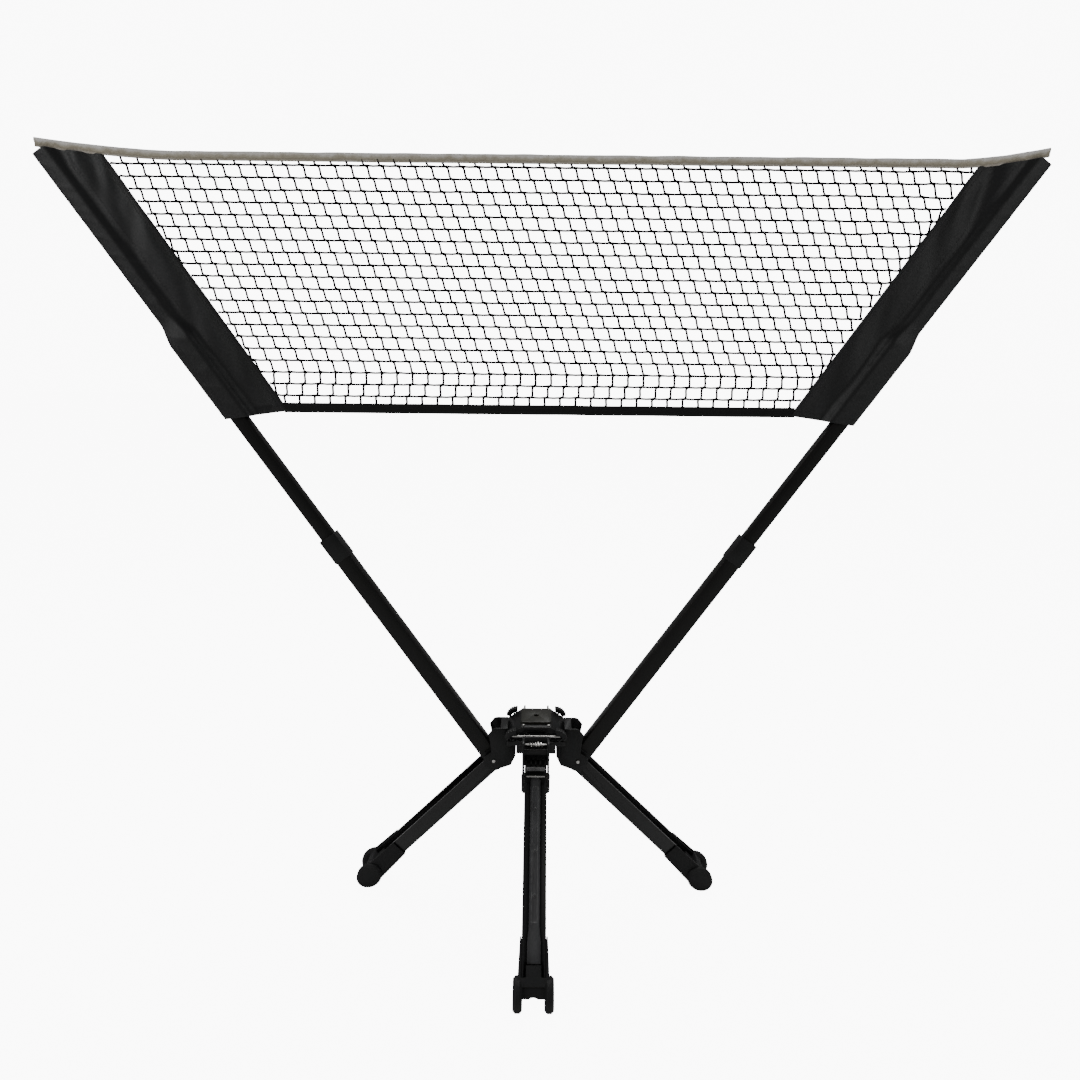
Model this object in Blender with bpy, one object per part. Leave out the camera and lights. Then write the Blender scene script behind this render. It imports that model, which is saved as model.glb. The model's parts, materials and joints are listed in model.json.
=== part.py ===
"""Folding practice net: a four-legged hub with two telescoping arms in a V that carry a net.

Frame: +Z up, X along the net, origin on the ground under the middle of the hub. Metres.
Leg and arm pieces are modelled in the frame of their pivot: local X runs along the piece,
local Y along the pivot pin and local Z away from the ground.
"""
from math import cos, pi, radians, sin

import bmesh
import bpy
from mathutils import Matrix, Vector

# ---- driving dimensions -------------------------------------------------------------------
GAP = 0.0003
PIVOT_RADIUS = 0.0507
PIVOT_HEIGHT = 0.169
LEG_TILT = radians(44.5)
ARM_TILT = radians(55.0)
AZIMUTHS = {"right": 0.0, "front": -pi / 2, "left": pi, "rear": pi / 2}

PIN_RADIUS = 0.0012
PIN_HOLE = 0.0015
PIN_HEAD_RADIUS = 0.0020
PIN_HEAD_THICKNESS = 0.0007
JOIN = 0.0010            # overlap of two meshes that are joined into one body
OPEN = 0.0400            # reach of a cutter that leaves the piece
BORE_REACH = 0.0200      # half length of a cutter for a pin hole

# hub
HUB_TOP = 0.2210
PLATE_HALF = 0.0180
PLATE_THICKNESS = 0.0026
PLATE_HOLE = 0.0030
PLATE_CORNER = 0.0030
DECK_HALF = 0.0172
DECK_TOP = HUB_TOP - PLATE_THICKNESS - GAP
EAVE_X = 0.0370
EAVE_Z = 0.2040
EAVE_FOOT_X = 0.0330
BODY_HALF_DEPTH = 0.0258
DECK_RIVET_X = 0.0150
DECK_RIVET_Y = 0.0218
TRAY_HALF = 0.0340
TRAY_BOTTOM = 0.1985
TRAY_TOP = 0.2035
STEM_HALF = 0.0235
STEM_BOTTOM = 0.1830
FACE_SLOT_HALF = 0.0110
FACE_SLOT_DEPTH = 0.0058
FACE_SLOT_Z = (0.2095, 0.2140)
RING_X = 0.0243
RING_Z = 0.2045
RING_INNER = 0.0075
RING_OUTER = 0.0125
RING_TOOTH = 0.0010
RING_FRONT = 0.0332
RING_BACK = 0.0262
RING_SWEEP = (14, 96)
RING_TEETH = 6
CROSS_PIN_Y = 0.0300
CROSS_PIN_Z = 0.2085
CROSS_PIN_RADIUS = 0.0012
CROSS_PIN_HALF = 0.0285
RIVET_RADIUS = 0.0018
RIVET_HEIGHT = 0.0015
SPRING_Y = 0.0425
SPRING_Z = 0.2045
AXLE_HALF = 0.0131
SPRING_RADIUS = 0.0028
SPRING_WIRE = 0.0005
SPRING_HALF = 0.0085
SPRING_TURNS = 5

# brackets
CHEEK_INNER = 0.0134
CHEEK_OUTER = 0.0158
WEB = 0.0028
BRACKET_INNER = STEM_HALF + 0.0010
BRACKET_TOP = 0.2110
LOBE_RADIUS = 0.0125
WEB_FOOT = 0.1760
SPRING_WEB = TRAY_HALF + GAP + WEB
ARM_WEB = 0.0425
BAR_U = (0.0380, 0.0470)
BAR_Z = (0.1940, 0.2005)

# legs
LEG_HALF_WIDTH = 0.0128
LEG_WALL = 0.0022
LEG_FLOOR = 0.0024
LEG_RIM = 0.0070
LEG_BOTTOM = -0.0114
LEG_FLOOR_START = {"right": 0.0040, "front": -0.0100, "left": 0.0040, "rear": -0.0100}
LEG_ROOT = -0.0220
LEG_ROOT_CORNER = 0.0050
LEG_ROOT_BOTTOM = -0.0060
LEG_END = 0.2030
RAIL_HALF_WIDTH = 0.00575
RAIL_FOOT_HALF_WIDTH = 0.0072
RAIL_THICKNESS = 0.0030
RAIL_START = {"right": 0.0090, "front": -0.0020, "left": 0.0090, "rear": -0.0020}
RAIL_END = 0.1900
RAIL_WIDENING = (0.1550, 0.1700)
RAIL_GROOVE_HALF = 0.00315
RAIL_GROOVE_DEPTH = 0.0010
STUD_RADIUS = 0.0019
STUD_STATIONS = (0.0350, 0.0800, 0.1250)

# feet
TOE_ACROSS = 0.0162
TOE_THICKNESS = 0.0098
TOE_LONG = 0.0170
TOE_SHORT = 0.0145
TOE_NORMAL = -0.0020
TOE_HEIGHT = 0.0153
BOOT_START = 0.1660
BOOT_END = 0.2120
BOOT_START_SECTION = (0.0146, -0.0130, 0.0076)   # half width, bottom, top
BOOT_END_SECTION = (0.0168, -0.0148, 0.0088)
ARCH_RADIUS = 0.0085
ARCH_OFFSET = 0.0110

# arms (section = in the plane of the net x across it)
ARM_OFFSET = -0.0027
TUBE_WALL = 0.0013
LOWER_SECTION = (0.0198, 0.0160)
MID_SECTION = (0.0166, 0.0128)
UPPER_SECTION = (0.0134, 0.0096)
LOWER_START, LOWER_END = 0.0125, 0.3300
MID_START, MID_END = 0.2850, 0.5955
UPPER_START, UPPER_END = 0.5550, 0.8400
COLLAR_LIP = 0.0047
COLLAR_LENGTH = 0.0270
KNUCKLE_RADIUS = 0.0080
KNUCKLE_HALF_WIDTH = 0.0077
PLUG_LENGTH = 0.0220

# sleeves
SLEEVE_START = 0.5060
SLEEVE_STEP = 0.6200
SLEEVE_END = 0.8580
SLEEVE_WIDE = (0.0262, 0.0196)
SLEEVE_WIDE_BORE = (0.0240, 0.0174)
SLEEVE_NARROW = (0.0162, 0.0122)
SLEEVE_NARROW_BORE = (0.0146, 0.0106)
SLEEVE_PANEL = 0.0030

# net
NET_BOTTOM = 0.5975
PANEL_EDGE_LOW = (0.2902, 0.5920)
PANEL_EDGE_HIGH = (0.4734, 0.8600)
NET_THICKNESS = 0.0020
TAPE_HALF_LENGTH = 0.5475
TAPE_BOTTOM = 0.8580
TAPE_HEIGHT = 0.0100
TAPE_THICKNESS = 0.0050
TAPE_RISE = 0.0125
TAPE_RISE_START = {-1: 0.400, 1: 0.455}
BAND_BOTTOM = 0.5860
BAND_THICKNESS = 0.0036

ACROSS = Matrix.Rotation(pi / 2, 4, "X")   # outline (x, y) -> (X, Z), thickness along Y
ALONG = Matrix.Rotation(pi / 2, 4, "Y")    # section (x, y) -> (Z, Y), length along X

LOOKS = {
    "black_nylon": ((0.020, 0.020, 0.021), 0.42, 0.0),
    "grey_nylon": ((0.060, 0.060, 0.062), 0.38, 0.0),
    "plate_olive": ((0.120, 0.118, 0.092), 0.36, 0.2),
    "bright_steel": ((0.560, 0.550, 0.530), 0.28, 1.0),
    "rubber": ((0.022, 0.022, 0.022), 0.72, 0.0),
    "anodised_black": ((0.028, 0.028, 0.030), 0.34, 0.35),
    "sleeve_cloth": ((0.016, 0.016, 0.018), 0.58, 0.0),
    "net_cord": ((0.014, 0.014, 0.014), 0.80, 0.0),
    "tape_cloth": ((0.720, 0.700, 0.650), 0.85, 0.0),
}


# ---- scene and materials ------------------------------------------------------------------
def clear_scene():
    for item in list(bpy.data.objects):
        bpy.data.objects.remove(item, do_unlink=True)


def new_collection(name):
    group = bpy.data.collections.new(name)
    bpy.context.scene.collection.children.link(group)
    return group


def make_material(name, colour, roughness, metallic):
    material = bpy.data.materials.new(name)
    material.use_nodes = True
    shader = material.node_tree.nodes["Principled BSDF"]
    shader.inputs["Base Color"].default_value = (*colour, 1.0)
    shader.inputs["Roughness"].default_value = roughness
    shader.inputs["Metallic"].default_value = metallic
    return material


def frame_at(name, location, azimuth, tilt):
    """An empty on a pivot: local X leaves the hub at this azimuth, tilted down by tilt."""
    empty = bpy.data.objects.new(name, None)
    empty.empty_display_size = 0.02
    turn = Matrix.Rotation(azimuth, 4, "Z") @ Matrix.Rotation(tilt, 4, "Y")
    empty.matrix_world = Matrix.Translation(location) @ turn
    parts.objects.link(empty)
    return empty


def pivot_point(side):
    azimuth = AZIMUTHS[side]
    return Vector((PIVOT_RADIUS * cos(azimuth), PIVOT_RADIUS * sin(azimuth), PIVOT_HEIGHT))


# ---- shapes -------------------------------------------------------------------------------
def mesh_from(bm, name):
    mesh = bpy.data.meshes.new(name)
    bm.to_mesh(mesh)
    bm.free()
    return mesh


def block(low, high):
    """A box between two corners."""
    bm = bmesh.new()
    bmesh.ops.create_cube(bm, size=1.0)
    low, high = Vector(low), Vector(high)
    bmesh.ops.scale(bm, vec=high - low, verts=bm.verts)
    bmesh.ops.translate(bm, vec=(high + low) / 2, verts=bm.verts)
    return mesh_from(bm, "block")


def rod(radius, low, high, axis="Y", centre=(0.0, 0.0), segments=24):
    """A cylinder from low to high along an axis; centre holds the other two coordinates."""
    bm = bmesh.new()
    bmesh.ops.create_cone(bm, cap_ends=True, segments=segments, radius1=radius, radius2=radius,
                          depth=high - low)
    bmesh.ops.translate(bm, vec=(0, 0, (high + low) / 2), verts=bm.verts)
    if axis == "Y":
        bmesh.ops.rotate(bm, matrix=Matrix.Rotation(-pi / 2, 3, "X"), verts=bm.verts)
        offset = (centre[0], 0, centre[1])
    elif axis == "X":
        bmesh.ops.rotate(bm, matrix=Matrix.Rotation(pi / 2, 3, "Y"), verts=bm.verts)
        offset = (0, centre[0], centre[1])
    else:
        offset = (centre[0], centre[1], 0)
    bmesh.ops.translate(bm, vec=offset, verts=bm.verts)
    mesh = mesh_from(bm, "rod")
    mesh.shade_smooth()
    mesh.set_sharp_from_angle(angle=radians(40))
    return mesh


def arc(centre_x, centre_y, radius, start, end, steps=6):
    """Points on an arc, angles in degrees."""
    angles = [radians(start + (end - start) * i / steps) for i in range(steps + 1)]
    return [(centre_x + radius * cos(a), centre_y + radius * sin(a)) for a in angles]


def rounded_rectangle(width, height, radius, steps=2):
    half_w, half_h = width / 2 - radius, height / 2 - radius
    return (arc(half_w, half_h, radius, 0, 90, steps) + arc(-half_w, half_h, radius, 90, 180, steps)
            + arc(-half_w, -half_h, radius, 180, 270, steps)
            + arc(half_w, -half_h, radius, 270, 360, steps))


def mesh_of_curve(curve):
    """The evaluated mesh of a curve with its caps welded; the curve is removed."""
    carrier = bpy.data.objects.new("carrier", curve)
    bpy.context.scene.collection.objects.link(carrier)
    depsgraph = bpy.context.evaluated_depsgraph_get()
    mesh = bpy.data.meshes.new_from_object(carrier.evaluated_get(depsgraph))
    bpy.data.objects.remove(carrier, do_unlink=True)
    bm = bmesh.new()
    bm.from_mesh(mesh)
    bmesh.ops.remove_doubles(bm, verts=bm.verts, dist=0.00001)
    bmesh.ops.recalc_face_normals(bm, faces=bm.faces)
    bm.to_mesh(mesh)
    bm.free()
    mesh.materials.clear()
    return mesh


def outline(loops, thickness, matrix, centre=0.0):
    """Flat outlines, the first outside and the rest holes, with a thickness about centre."""
    curve = bpy.data.curves.new("outline", "CURVE")
    curve.dimensions = "2D"
    curve.fill_mode = "BOTH"
    curve.extrude = thickness / 2
    for points in loops:
        spline = curve.splines.new("POLY")
        spline.points.add(len(points) - 1)
        for point, (x, y) in zip(spline.points, points):
            point.co = (x, y, 0.0, 1.0)
        spline.use_cyclic_u = True
    mesh = mesh_of_curve(curve)
    mesh.transform(matrix @ Matrix.Translation((0, 0, centre)))
    mesh.shade_smooth()
    mesh.set_sharp_from_angle(angle=radians(35))
    return mesh


def section_tube(outer, bore, start, end, offset=ARM_OFFSET, radius=0.0018):
    """A rectangular tube along local X, or a solid bar where bore is None."""
    loops = [rounded_rectangle(*outer, radius)]
    if bore:
        loops.append(rounded_rectangle(*bore, max(radius - TUBE_WALL, 0.0006)))
    return outline(loops, end - start, Matrix.Translation((0, 0, offset)) @ ALONG,
                   centre=(start + end) / 2)


def shrink(section, amount):
    return (section[0] - 2 * amount, section[1] - 2 * amount)


def add_piece(name, mesh, look, parent=None):
    piece = bpy.data.objects.new(name, mesh)
    mesh.name = name
    mesh.materials.append(materials[look])
    piece.parent = parent
    parts.objects.link(piece)
    return piece


def add_tool(mesh, parent=None):
    """A hidden helper for a Boolean."""
    tool = bpy.data.objects.new("tool", mesh)
    tool.parent = parent
    tool.hide_render = True
    tool.display_type = "WIRE"
    cutters.objects.link(tool)
    return tool


def boolean(piece, mesh, operation, parent):
    modifier = piece.modifiers.new(operation.lower(), "BOOLEAN")
    modifier.operation = operation
    modifier.solver = "EXACT"
    modifier.object = add_tool(mesh, parent)


def cut(piece, mesh):
    boolean(piece, mesh, "DIFFERENCE", piece.parent)


def join(piece, mesh):
    boolean(piece, mesh, "UNION", piece.parent)


def mirrored(mesh, axis):
    copy = mesh.copy()
    scale = Matrix.Scale(-1, 4, axis)
    copy.transform(scale)
    copy.flip_normals()
    return copy


# ---- hub ----------------------------------------------------------------------------------
def hub_core():
    """A block with sloping flanks on a square tray and stem, open where the side forks sit."""
    flank = [(EAVE_FOOT_X, TRAY_BOTTOM + JOIN), (EAVE_X, EAVE_Z), (DECK_HALF, DECK_TOP)]
    profile = flank + [(-x, z) for x, z in reversed(flank)]
    core = add_piece("hub_core", outline([profile], 2 * BODY_HALF_DEPTH, ACROSS), "black_nylon")
    join(core, block((-TRAY_HALF, -TRAY_HALF, TRAY_BOTTOM), (TRAY_HALF, TRAY_HALF, TRAY_TOP)))
    join(core, block((-STEM_HALF, -STEM_HALF, STEM_BOTTOM), (STEM_HALF, STEM_HALF, TRAY_BOTTOM + JOIN)))
    cut(core, rod(PLATE_HOLE, STEM_BOTTOM - JOIN, HUB_TOP + JOIN, axis="Z", segments=16))
    fork_half, fork_top = CHEEK_OUTER + GAP, BRACKET_TOP + GAP
    for low, high in ((TRAY_HALF, OPEN), (-OPEN, -TRAY_HALF)):
        cut(core, block((low, -fork_half, STEM_BOTTOM), (high, fork_half, fork_top)))
    slot_back, slot_front = BODY_HALF_DEPTH - FACE_SLOT_DEPTH, BODY_HALF_DEPTH + JOIN
    for low, high in ((slot_back, slot_front), (-slot_front, -slot_back)):
        cut(core, block((-FACE_SLOT_HALF, low, FACE_SLOT_Z[0]), (FACE_SLOT_HALF, high, FACE_SLOT_Z[1])))
    return core


def top_plate():
    plate_outline = rounded_rectangle(2 * PLATE_HALF, 2 * PLATE_HALF, PLATE_CORNER, 4)
    hole = arc(0, 0, PLATE_HOLE, 0, 360, 20)[:-1]
    plate = outline([plate_outline, hole], PLATE_THICKNESS, Matrix.Identity(4),
                    centre=HUB_TOP - PLATE_THICKNESS / 2)
    return add_piece("top_plate", plate, "plate_olive")


def toothed_quarter():
    """A quarter ring whose outer edge has rounded teeth."""
    first, last = RING_SWEEP
    points = []
    steps = RING_TEETH * 6
    for i in range(steps + 1):
        share = i / steps
        angle = radians(first + (last - first) * share)
        radius = RING_OUTER + RING_TOOTH * (0.5 - 0.5 * cos(2 * pi * RING_TEETH * share))
        points.append((RING_X + radius * cos(angle), RING_Z + radius * sin(angle)))
    return points + arc(RING_X, RING_Z, RING_INNER, last, first, 8)


def shoulder_rings():
    thickness = RING_FRONT - RING_BACK
    middle = (RING_FRONT + RING_BACK) / 2
    for end_name, end_sign in (("front", -1), ("rear", 1)):
        ring = outline([toothed_quarter()], thickness, ACROSS, centre=-end_sign * middle)
        add_piece(f"shoulder_ring_{end_name}_left", mirrored(ring, Vector((1, 0, 0))), "black_nylon")
        add_piece(f"shoulder_ring_{end_name}_right", ring, "black_nylon")


def lock_spring(name, y):
    """A close coil along X about the axle at (y, SPRING_Z)."""
    coil = bpy.data.curves.new("coil", "CURVE")
    coil.dimensions = "3D"
    coil.bevel_depth = SPRING_WIRE
    coil.bevel_resolution = 0
    coil.use_fill_caps = True
    spline = coil.splines.new("POLY")
    count = SPRING_TURNS * 8
    spline.points.add(count)
    for i in range(count + 1):
        angle = 2 * pi * SPRING_TURNS * i / count
        x = SPRING_HALF * (2 * i / count - 1)
        spline.points[i].co = (x, y + SPRING_RADIUS * cos(angle), SPRING_Z + SPRING_RADIUS * sin(angle), 1.0)
    add_piece(name, mesh_of_curve(coil), "bright_steel")


def cross_pins_and_springs():
    """A pin inside each pair of rings, and a coiled spring on an axle in each end fork."""
    for end_name, sign in (("front", -1), ("rear", 1)):
        pin_centre, axle_centre = (sign * CROSS_PIN_Y, CROSS_PIN_Z), (sign * SPRING_Y, SPRING_Z)
        pin = rod(CROSS_PIN_RADIUS, -CROSS_PIN_HALF, CROSS_PIN_HALF, "X", pin_centre, 12)
        add_piece(f"cross_pin_{end_name}", pin, "bright_steel")
        axle = rod(CROSS_PIN_RADIUS, -AXLE_HALF, AXLE_HALF, "X", axle_centre, 12)
        add_piece(f"spring_axle_{end_name}", axle, "bright_steel")
        lock_spring(f"lock_spring_{end_name}", axle_centre[0])


def deck_rivets():
    """Small round heads on the deck, just outside the top plate, two at each end."""
    low = DECK_TOP + GAP
    for end_name, sign in (("front", -1), ("rear", 1)):
        for side_name, x in (("left", -DECK_RIVET_X), ("right", DECK_RIVET_X)):
            head = rod(RIVET_RADIUS, low, low + RIVET_HEIGHT, "Z", (x, sign * DECK_RIVET_Y), 14)
            add_piece(f"deck_rivet_{end_name}_{side_name}", head, "bright_steel")


def bracket(side):
    """A fork of two cheeks and a web, fixed on the hub, that holds one pivot pin."""
    fork_frame = frame_at(f"bracket_frame_{side}", (0, 0, 0), AZIMUTHS[side], 0.0)
    shelf = TRAY_BOTTOM - GAP
    edge = [(TRAY_HALF + GAP, BRACKET_TOP), (TRAY_HALF + GAP, shelf), (BRACKET_INNER, shelf),
            (BRACKET_INNER, WEB_FOOT), (0.0300, 0.1640)]
    edge += arc(PIVOT_RADIUS, PIVOT_HEIGHT, LOBE_RADIUS, 230, 385, 12)
    edge += [(0.0537, 0.1795), (0.0548, 0.1916), (0.0570, 0.2030)]
    edge += arc(0.0475, BRACKET_TOP - 0.0070, 0.0070, 35, 90, 4)
    fork = add_piece(f"bracket_{side}", outline([edge], 2 * CHEEK_OUTER, ACROSS), "black_nylon", fork_frame)
    outside = PIVOT_RADIUS + OPEN
    upper_web = SPRING_WEB if side in ("front", "rear") else ARM_WEB
    lower_web = BRACKET_INNER + WEB
    cut(fork, block((lower_web, -CHEEK_INNER, PIVOT_HEIGHT - OPEN), (outside, CHEEK_INNER, shelf - WEB)))
    cut(fork, block((upper_web, -CHEEK_INNER, WEB_FOOT), (outside, CHEEK_INNER, BRACKET_TOP + JOIN)))
    cut(fork, rod(PIN_HOLE, -BORE_REACH, BORE_REACH, "Y", (PIVOT_RADIUS, PIVOT_HEIGHT), 16))
    if side in ("front", "rear"):
        bar_half = CHEEK_INNER + JOIN
        join(fork, block((BAR_U[0], -bar_half, BAR_Z[0]), (BAR_U[1], bar_half, BAR_Z[1])))
    return fork_frame


def pivot_pin(side, fork_frame):
    """A headed pin through the fork; the heads bear outside the cheeks."""
    centre = (PIVOT_RADIUS, PIVOT_HEIGHT)
    reach = CHEEK_OUTER + GAP
    half = reach + PIN_HEAD_THICKNESS / 2
    pin = add_piece(f"pivot_pin_{side}", rod(PIN_RADIUS, -half, half, "Y", centre, 14), "bright_steel",
                    fork_frame)
    for sign in (-1, 1):
        low, high = sorted((sign * reach, sign * (reach + PIN_HEAD_THICKNESS)))
        join(pin, rod(PIN_HEAD_RADIUS, low, high, "Y", centre, 16))


# ---- legs ---------------------------------------------------------------------------------
def leg_channel(side, hinge):
    """A channel open on its upper side whose floor stops short of the pivot."""
    floor_start = LEG_FLOOR_START[side]
    corner_x = LEG_ROOT + LEG_ROOT_CORNER
    edge = arc(corner_x, LEG_RIM - LEG_ROOT_CORNER, LEG_ROOT_CORNER, 180, 90, 4)
    edge += [(LEG_END, LEG_RIM), (LEG_END, LEG_BOTTOM), (floor_start, LEG_BOTTOM)]
    edge += [(min(-0.0100, floor_start - 0.0040), LEG_ROOT_BOTTOM - 0.0010)]
    edge += arc(corner_x, LEG_ROOT_BOTTOM + LEG_ROOT_CORNER, LEG_ROOT_CORNER, 270, 180, 4)
    leg = add_piece(f"leg_{side}", outline([edge], 2 * LEG_HALF_WIDTH, ACROSS), "black_nylon", hinge)
    inner = LEG_HALF_WIDTH - LEG_WALL
    cut(leg, block((-OPEN, -inner, LEG_BOTTOM + LEG_FLOOR), (LEG_END + OPEN, inner, OPEN)))
    cut(leg, block((-OPEN, -inner, -OPEN), (floor_start + JOIN, inner, 0.0)))
    cut(leg, rod(PIN_HOLE, -BORE_REACH, BORE_REACH, "Y", (0, 0), 16))
    if side in ("front", "rear"):
        low, high = LEG_ROOT + 0.0020, -0.0120
        join(leg, block((low, -inner - JOIN, -0.0055), (high, inner + JOIN, -0.0035)))
        for across in (-0.0056, 0.0, 0.0056):
            join(leg, block((low + JOIN, across - 0.0010, -0.0040), (high - 0.0005, across + 0.0010, 0.0050)))


def leg_rail(side, hinge):
    """The guide strip on the channel floor, with a recessed middle and three round studs."""
    start = RAIL_START[side]
    half, foot_half = RAIL_HALF_WIDTH, RAIL_FOOT_HALF_WIDTH
    flare_start, flare_end = RAIL_WIDENING
    plan = arc(start + half, 0, half, 270, 90, 8)
    plan += [(flare_start, half), (flare_end, foot_half), (RAIL_END, foot_half)]
    plan += [(RAIL_END, -foot_half), (flare_end, -foot_half), (flare_start, -half)]
    bottom = LEG_BOTTOM + LEG_FLOOR + GAP
    top = bottom + RAIL_THICKNESS
    rail = outline([plan], RAIL_THICKNESS, Matrix.Identity(4), centre=(bottom + top) / 2)
    rail = add_piece(f"leg_rail_{side}", rail, "grey_nylon", hinge)
    groove_low = (start + 0.0120, -RAIL_GROOVE_HALF, top - RAIL_GROOVE_DEPTH)
    cut(rail, block(groove_low, (flare_start - 0.0040, RAIL_GROOVE_HALF, top + JOIN)))
    for along in STUD_STATIONS:
        join(rail, rod(STUD_RADIUS, top - 2 * RAIL_GROOVE_DEPTH, top - GAP, "Z", (along, 0), 10))


def toe(across):
    """One rounded toe disc of a foot, its axis across the leg."""
    bm = bmesh.new()
    bmesh.ops.create_cone(bm, cap_ends=True, segments=24, radius1=1.0, radius2=1.0, depth=TOE_THICKNESS)
    bmesh.ops.scale(bm, vec=(TOE_LONG, TOE_SHORT, 1.0), verts=bm.verts)
    rims = [edge for edge in bm.edges if abs(edge.verts[0].co.z - edge.verts[1].co.z) < 1e-6]
    bmesh.ops.bevel(bm, geom=rims, offset=0.0026, segments=1, affect="EDGES", profile=0.5)
    bmesh.ops.rotate(bm, matrix=Matrix.Rotation(pi / 2, 3, "X"), verts=bm.verts)
    bmesh.ops.translate(bm, vec=(toe_along(), across, TOE_NORMAL), verts=bm.verts)
    return mesh_from(bm, "toe")


def toe_along():
    """Distance from the pivot at which a toe's centre lies TOE_HEIGHT above the ground."""
    drop = PIVOT_HEIGHT + TOE_NORMAL * cos(LEG_TILT) - TOE_HEIGHT
    return drop / sin(LEG_TILT)


def boot_shell():
    """A tapered block that widens toward the toes."""
    bm = bmesh.new()
    bmesh.ops.create_cube(bm, size=2.0)
    for vert in bm.verts:
        far = vert.co.x > 0
        half, low, high = BOOT_END_SECTION if far else BOOT_START_SECTION
        vert.co = (BOOT_END if far else BOOT_START, half * vert.co.y, high if vert.co.z > 0 else low)
    return mesh_from(bm, "boot")


def foot(side, hinge, ground):
    """A rubber boot over the leg's end with two toe discs, cut level with the ground."""
    boot = add_piece(f"foot_{side}", boot_shell(), "rubber", hinge)
    for across in (-TOE_ACROSS, TOE_ACROSS):
        join(boot, toe(across))
    heel_half = 0.0125
    join(boot, block((BOOT_END - 0.004, -heel_half, -0.0100), (toe_along() + 0.004, heel_half, 0.0050)))
    clear_half = LEG_HALF_WIDTH + GAP
    cut(boot, block((BOOT_START - JOIN, -clear_half, LEG_BOTTOM - GAP), (LEG_END + GAP, clear_half, OPEN)))
    join(boot, block((RAIL_END + 0.0020, -0.0080, 0.0010), (BOOT_END, 0.0080, 0.0034)))
    cut(boot, rod(ARCH_RADIUS, -OPEN, OPEN, "Z", (toe_along() + ARCH_OFFSET, 0), 20))
    modifier = boot.modifiers.new("ground", "BOOLEAN")
    modifier.operation = "DIFFERENCE"
    modifier.solver = "EXACT"
    modifier.object = ground


# ---- arms ---------------------------------------------------------------------------------
def knuckle(side, hinge):
    """The arm's root: a disc on the pin and a plug inside the lower tube."""
    half = LOWER_SECTION[0] / 2
    edge = arc(0, 0, KNUCKLE_RADIUS, 90, 250, 12)
    edge += [(0.0040, ARM_OFFSET - half + 0.0010), (LOWER_START - GAP, ARM_OFFSET - half)]
    edge += [(LOWER_START - GAP, ARM_OFFSET + half)]
    root = add_piece(f"arm_knuckle_{side}", outline([edge], 2 * KNUCKLE_HALF_WIDTH, ACROSS), "black_nylon",
                     hinge)
    plug = shrink(LOWER_SECTION, TUBE_WALL + GAP)
    join(root, section_tube(plug, None, LOWER_START - 0.002, LOWER_START + PLUG_LENGTH, radius=0.0008))
    cut(root, rod(PIN_HOLE, -0.020, 0.020, "Y", (0, 0), 20))


def collar(name, section, inner_section, end, hinge):
    """A moulded ring on a tube's end, with a lip that closes on the next tube."""
    outer = shrink(section, -(GAP + 0.0009))
    body = section_tube(outer, None, end - COLLAR_LENGTH, end + COLLAR_LIP, radius=0.0026)
    ring = add_piece(name, body, "black_nylon", hinge)
    cut(ring, section_tube(shrink(section, -GAP), None, end - 0.1, end + GAP, radius=0.0020))
    cut(ring, section_tube(shrink(inner_section, -GAP), None, end - 0.1, end + 0.1, radius=0.0020))


def arm(side):
    azimuth = AZIMUTHS[side]
    hinge = frame_at(f"arm_pivot_{side}", pivot_point(side), azimuth, -ARM_TILT)
    slides = []
    for stage, start in (("mid", MID_START), ("upper", UPPER_START)):
        slide = frame_at(f"{stage}_slide_{side}", (0, 0, 0), 0, 0)
        slide.parent = hinge
        slide.matrix_local = Matrix.Identity(4)
        slides.append(slide)
    mid, upper = slides
    knuckle(side, hinge)
    for name, section, start, end, frame in (
            ("lower_tube", LOWER_SECTION, LOWER_START, LOWER_END, hinge),
            ("mid_tube", MID_SECTION, MID_START, MID_END, mid),
            ("upper_tube", UPPER_SECTION, UPPER_START, UPPER_END, upper)):
        tube = section_tube(section, shrink(section, TUBE_WALL), start, end)
        add_piece(f"{name}_{side}", tube, "anodised_black", frame)
    collar(f"lower_collar_{side}", LOWER_SECTION, MID_SECTION, LOWER_END, hinge)
    collar(f"mid_collar_{side}", MID_SECTION, UPPER_SECTION, MID_END, mid)
    for name, section, start, frame in (("mid_bush", MID_SECTION, MID_START, mid),
                                        ("upper_bush", UPPER_SECTION, UPPER_START, upper)):
        plug = shrink(section, TUBE_WALL + GAP)
        ring = section_tube(plug, shrink(plug, 0.0016), start - 0.0015, start + 0.0140, radius=0.0007)
        add_piece(f"{name}_{side}", ring, "black_nylon", frame)
    cap_shape = section_tube(shrink(UPPER_SECTION, -0.0002), None, UPPER_END + GAP, UPPER_END + 0.0035)
    cap = add_piece(f"tip_cap_{side}", cap_shape, "black_nylon", upper)
    plug = shrink(UPPER_SECTION, TUBE_WALL + GAP)
    join(cap, section_tube(plug, None, UPPER_END - 0.0100, UPPER_END + 0.0010, radius=0.0007))
    return hinge


# ---- sleeves and net ----------------------------------------------------------------------
def tape_rise(x):
    """How far the top tape climbs above its level middle toward either end."""
    start = TAPE_RISE_START[1 if x > 0 else -1]
    share = max(0.0, (abs(x) - start) / (TAPE_HALF_LENGTH - start))
    return TAPE_RISE * share ** 1.5


def tape_underside(x):
    return TAPE_BOTTOM + tape_rise(x)


def tape_stations():
    """Positions along the tape, close together where it climbs."""
    climb = [0.400, 0.428, 0.455, 0.478, 0.500, 0.520, 0.535, TAPE_HALF_LENGTH]
    return [-x for x in reversed(climb)] + climb


def panel_edge(z):
    """Half the width between the sleeves' inner edges at a height."""
    (low_x, low_z), (high_x, high_z) = PANEL_EDGE_LOW, PANEL_EDGE_HIGH
    return low_x + (z - low_z) * (high_x - low_x) / (high_z - low_z)


def in_arm_frame(hinge, x, z):
    local = hinge.matrix_world.inverted() @ Vector((x, 0, z))
    return local.x, local.z


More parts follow.
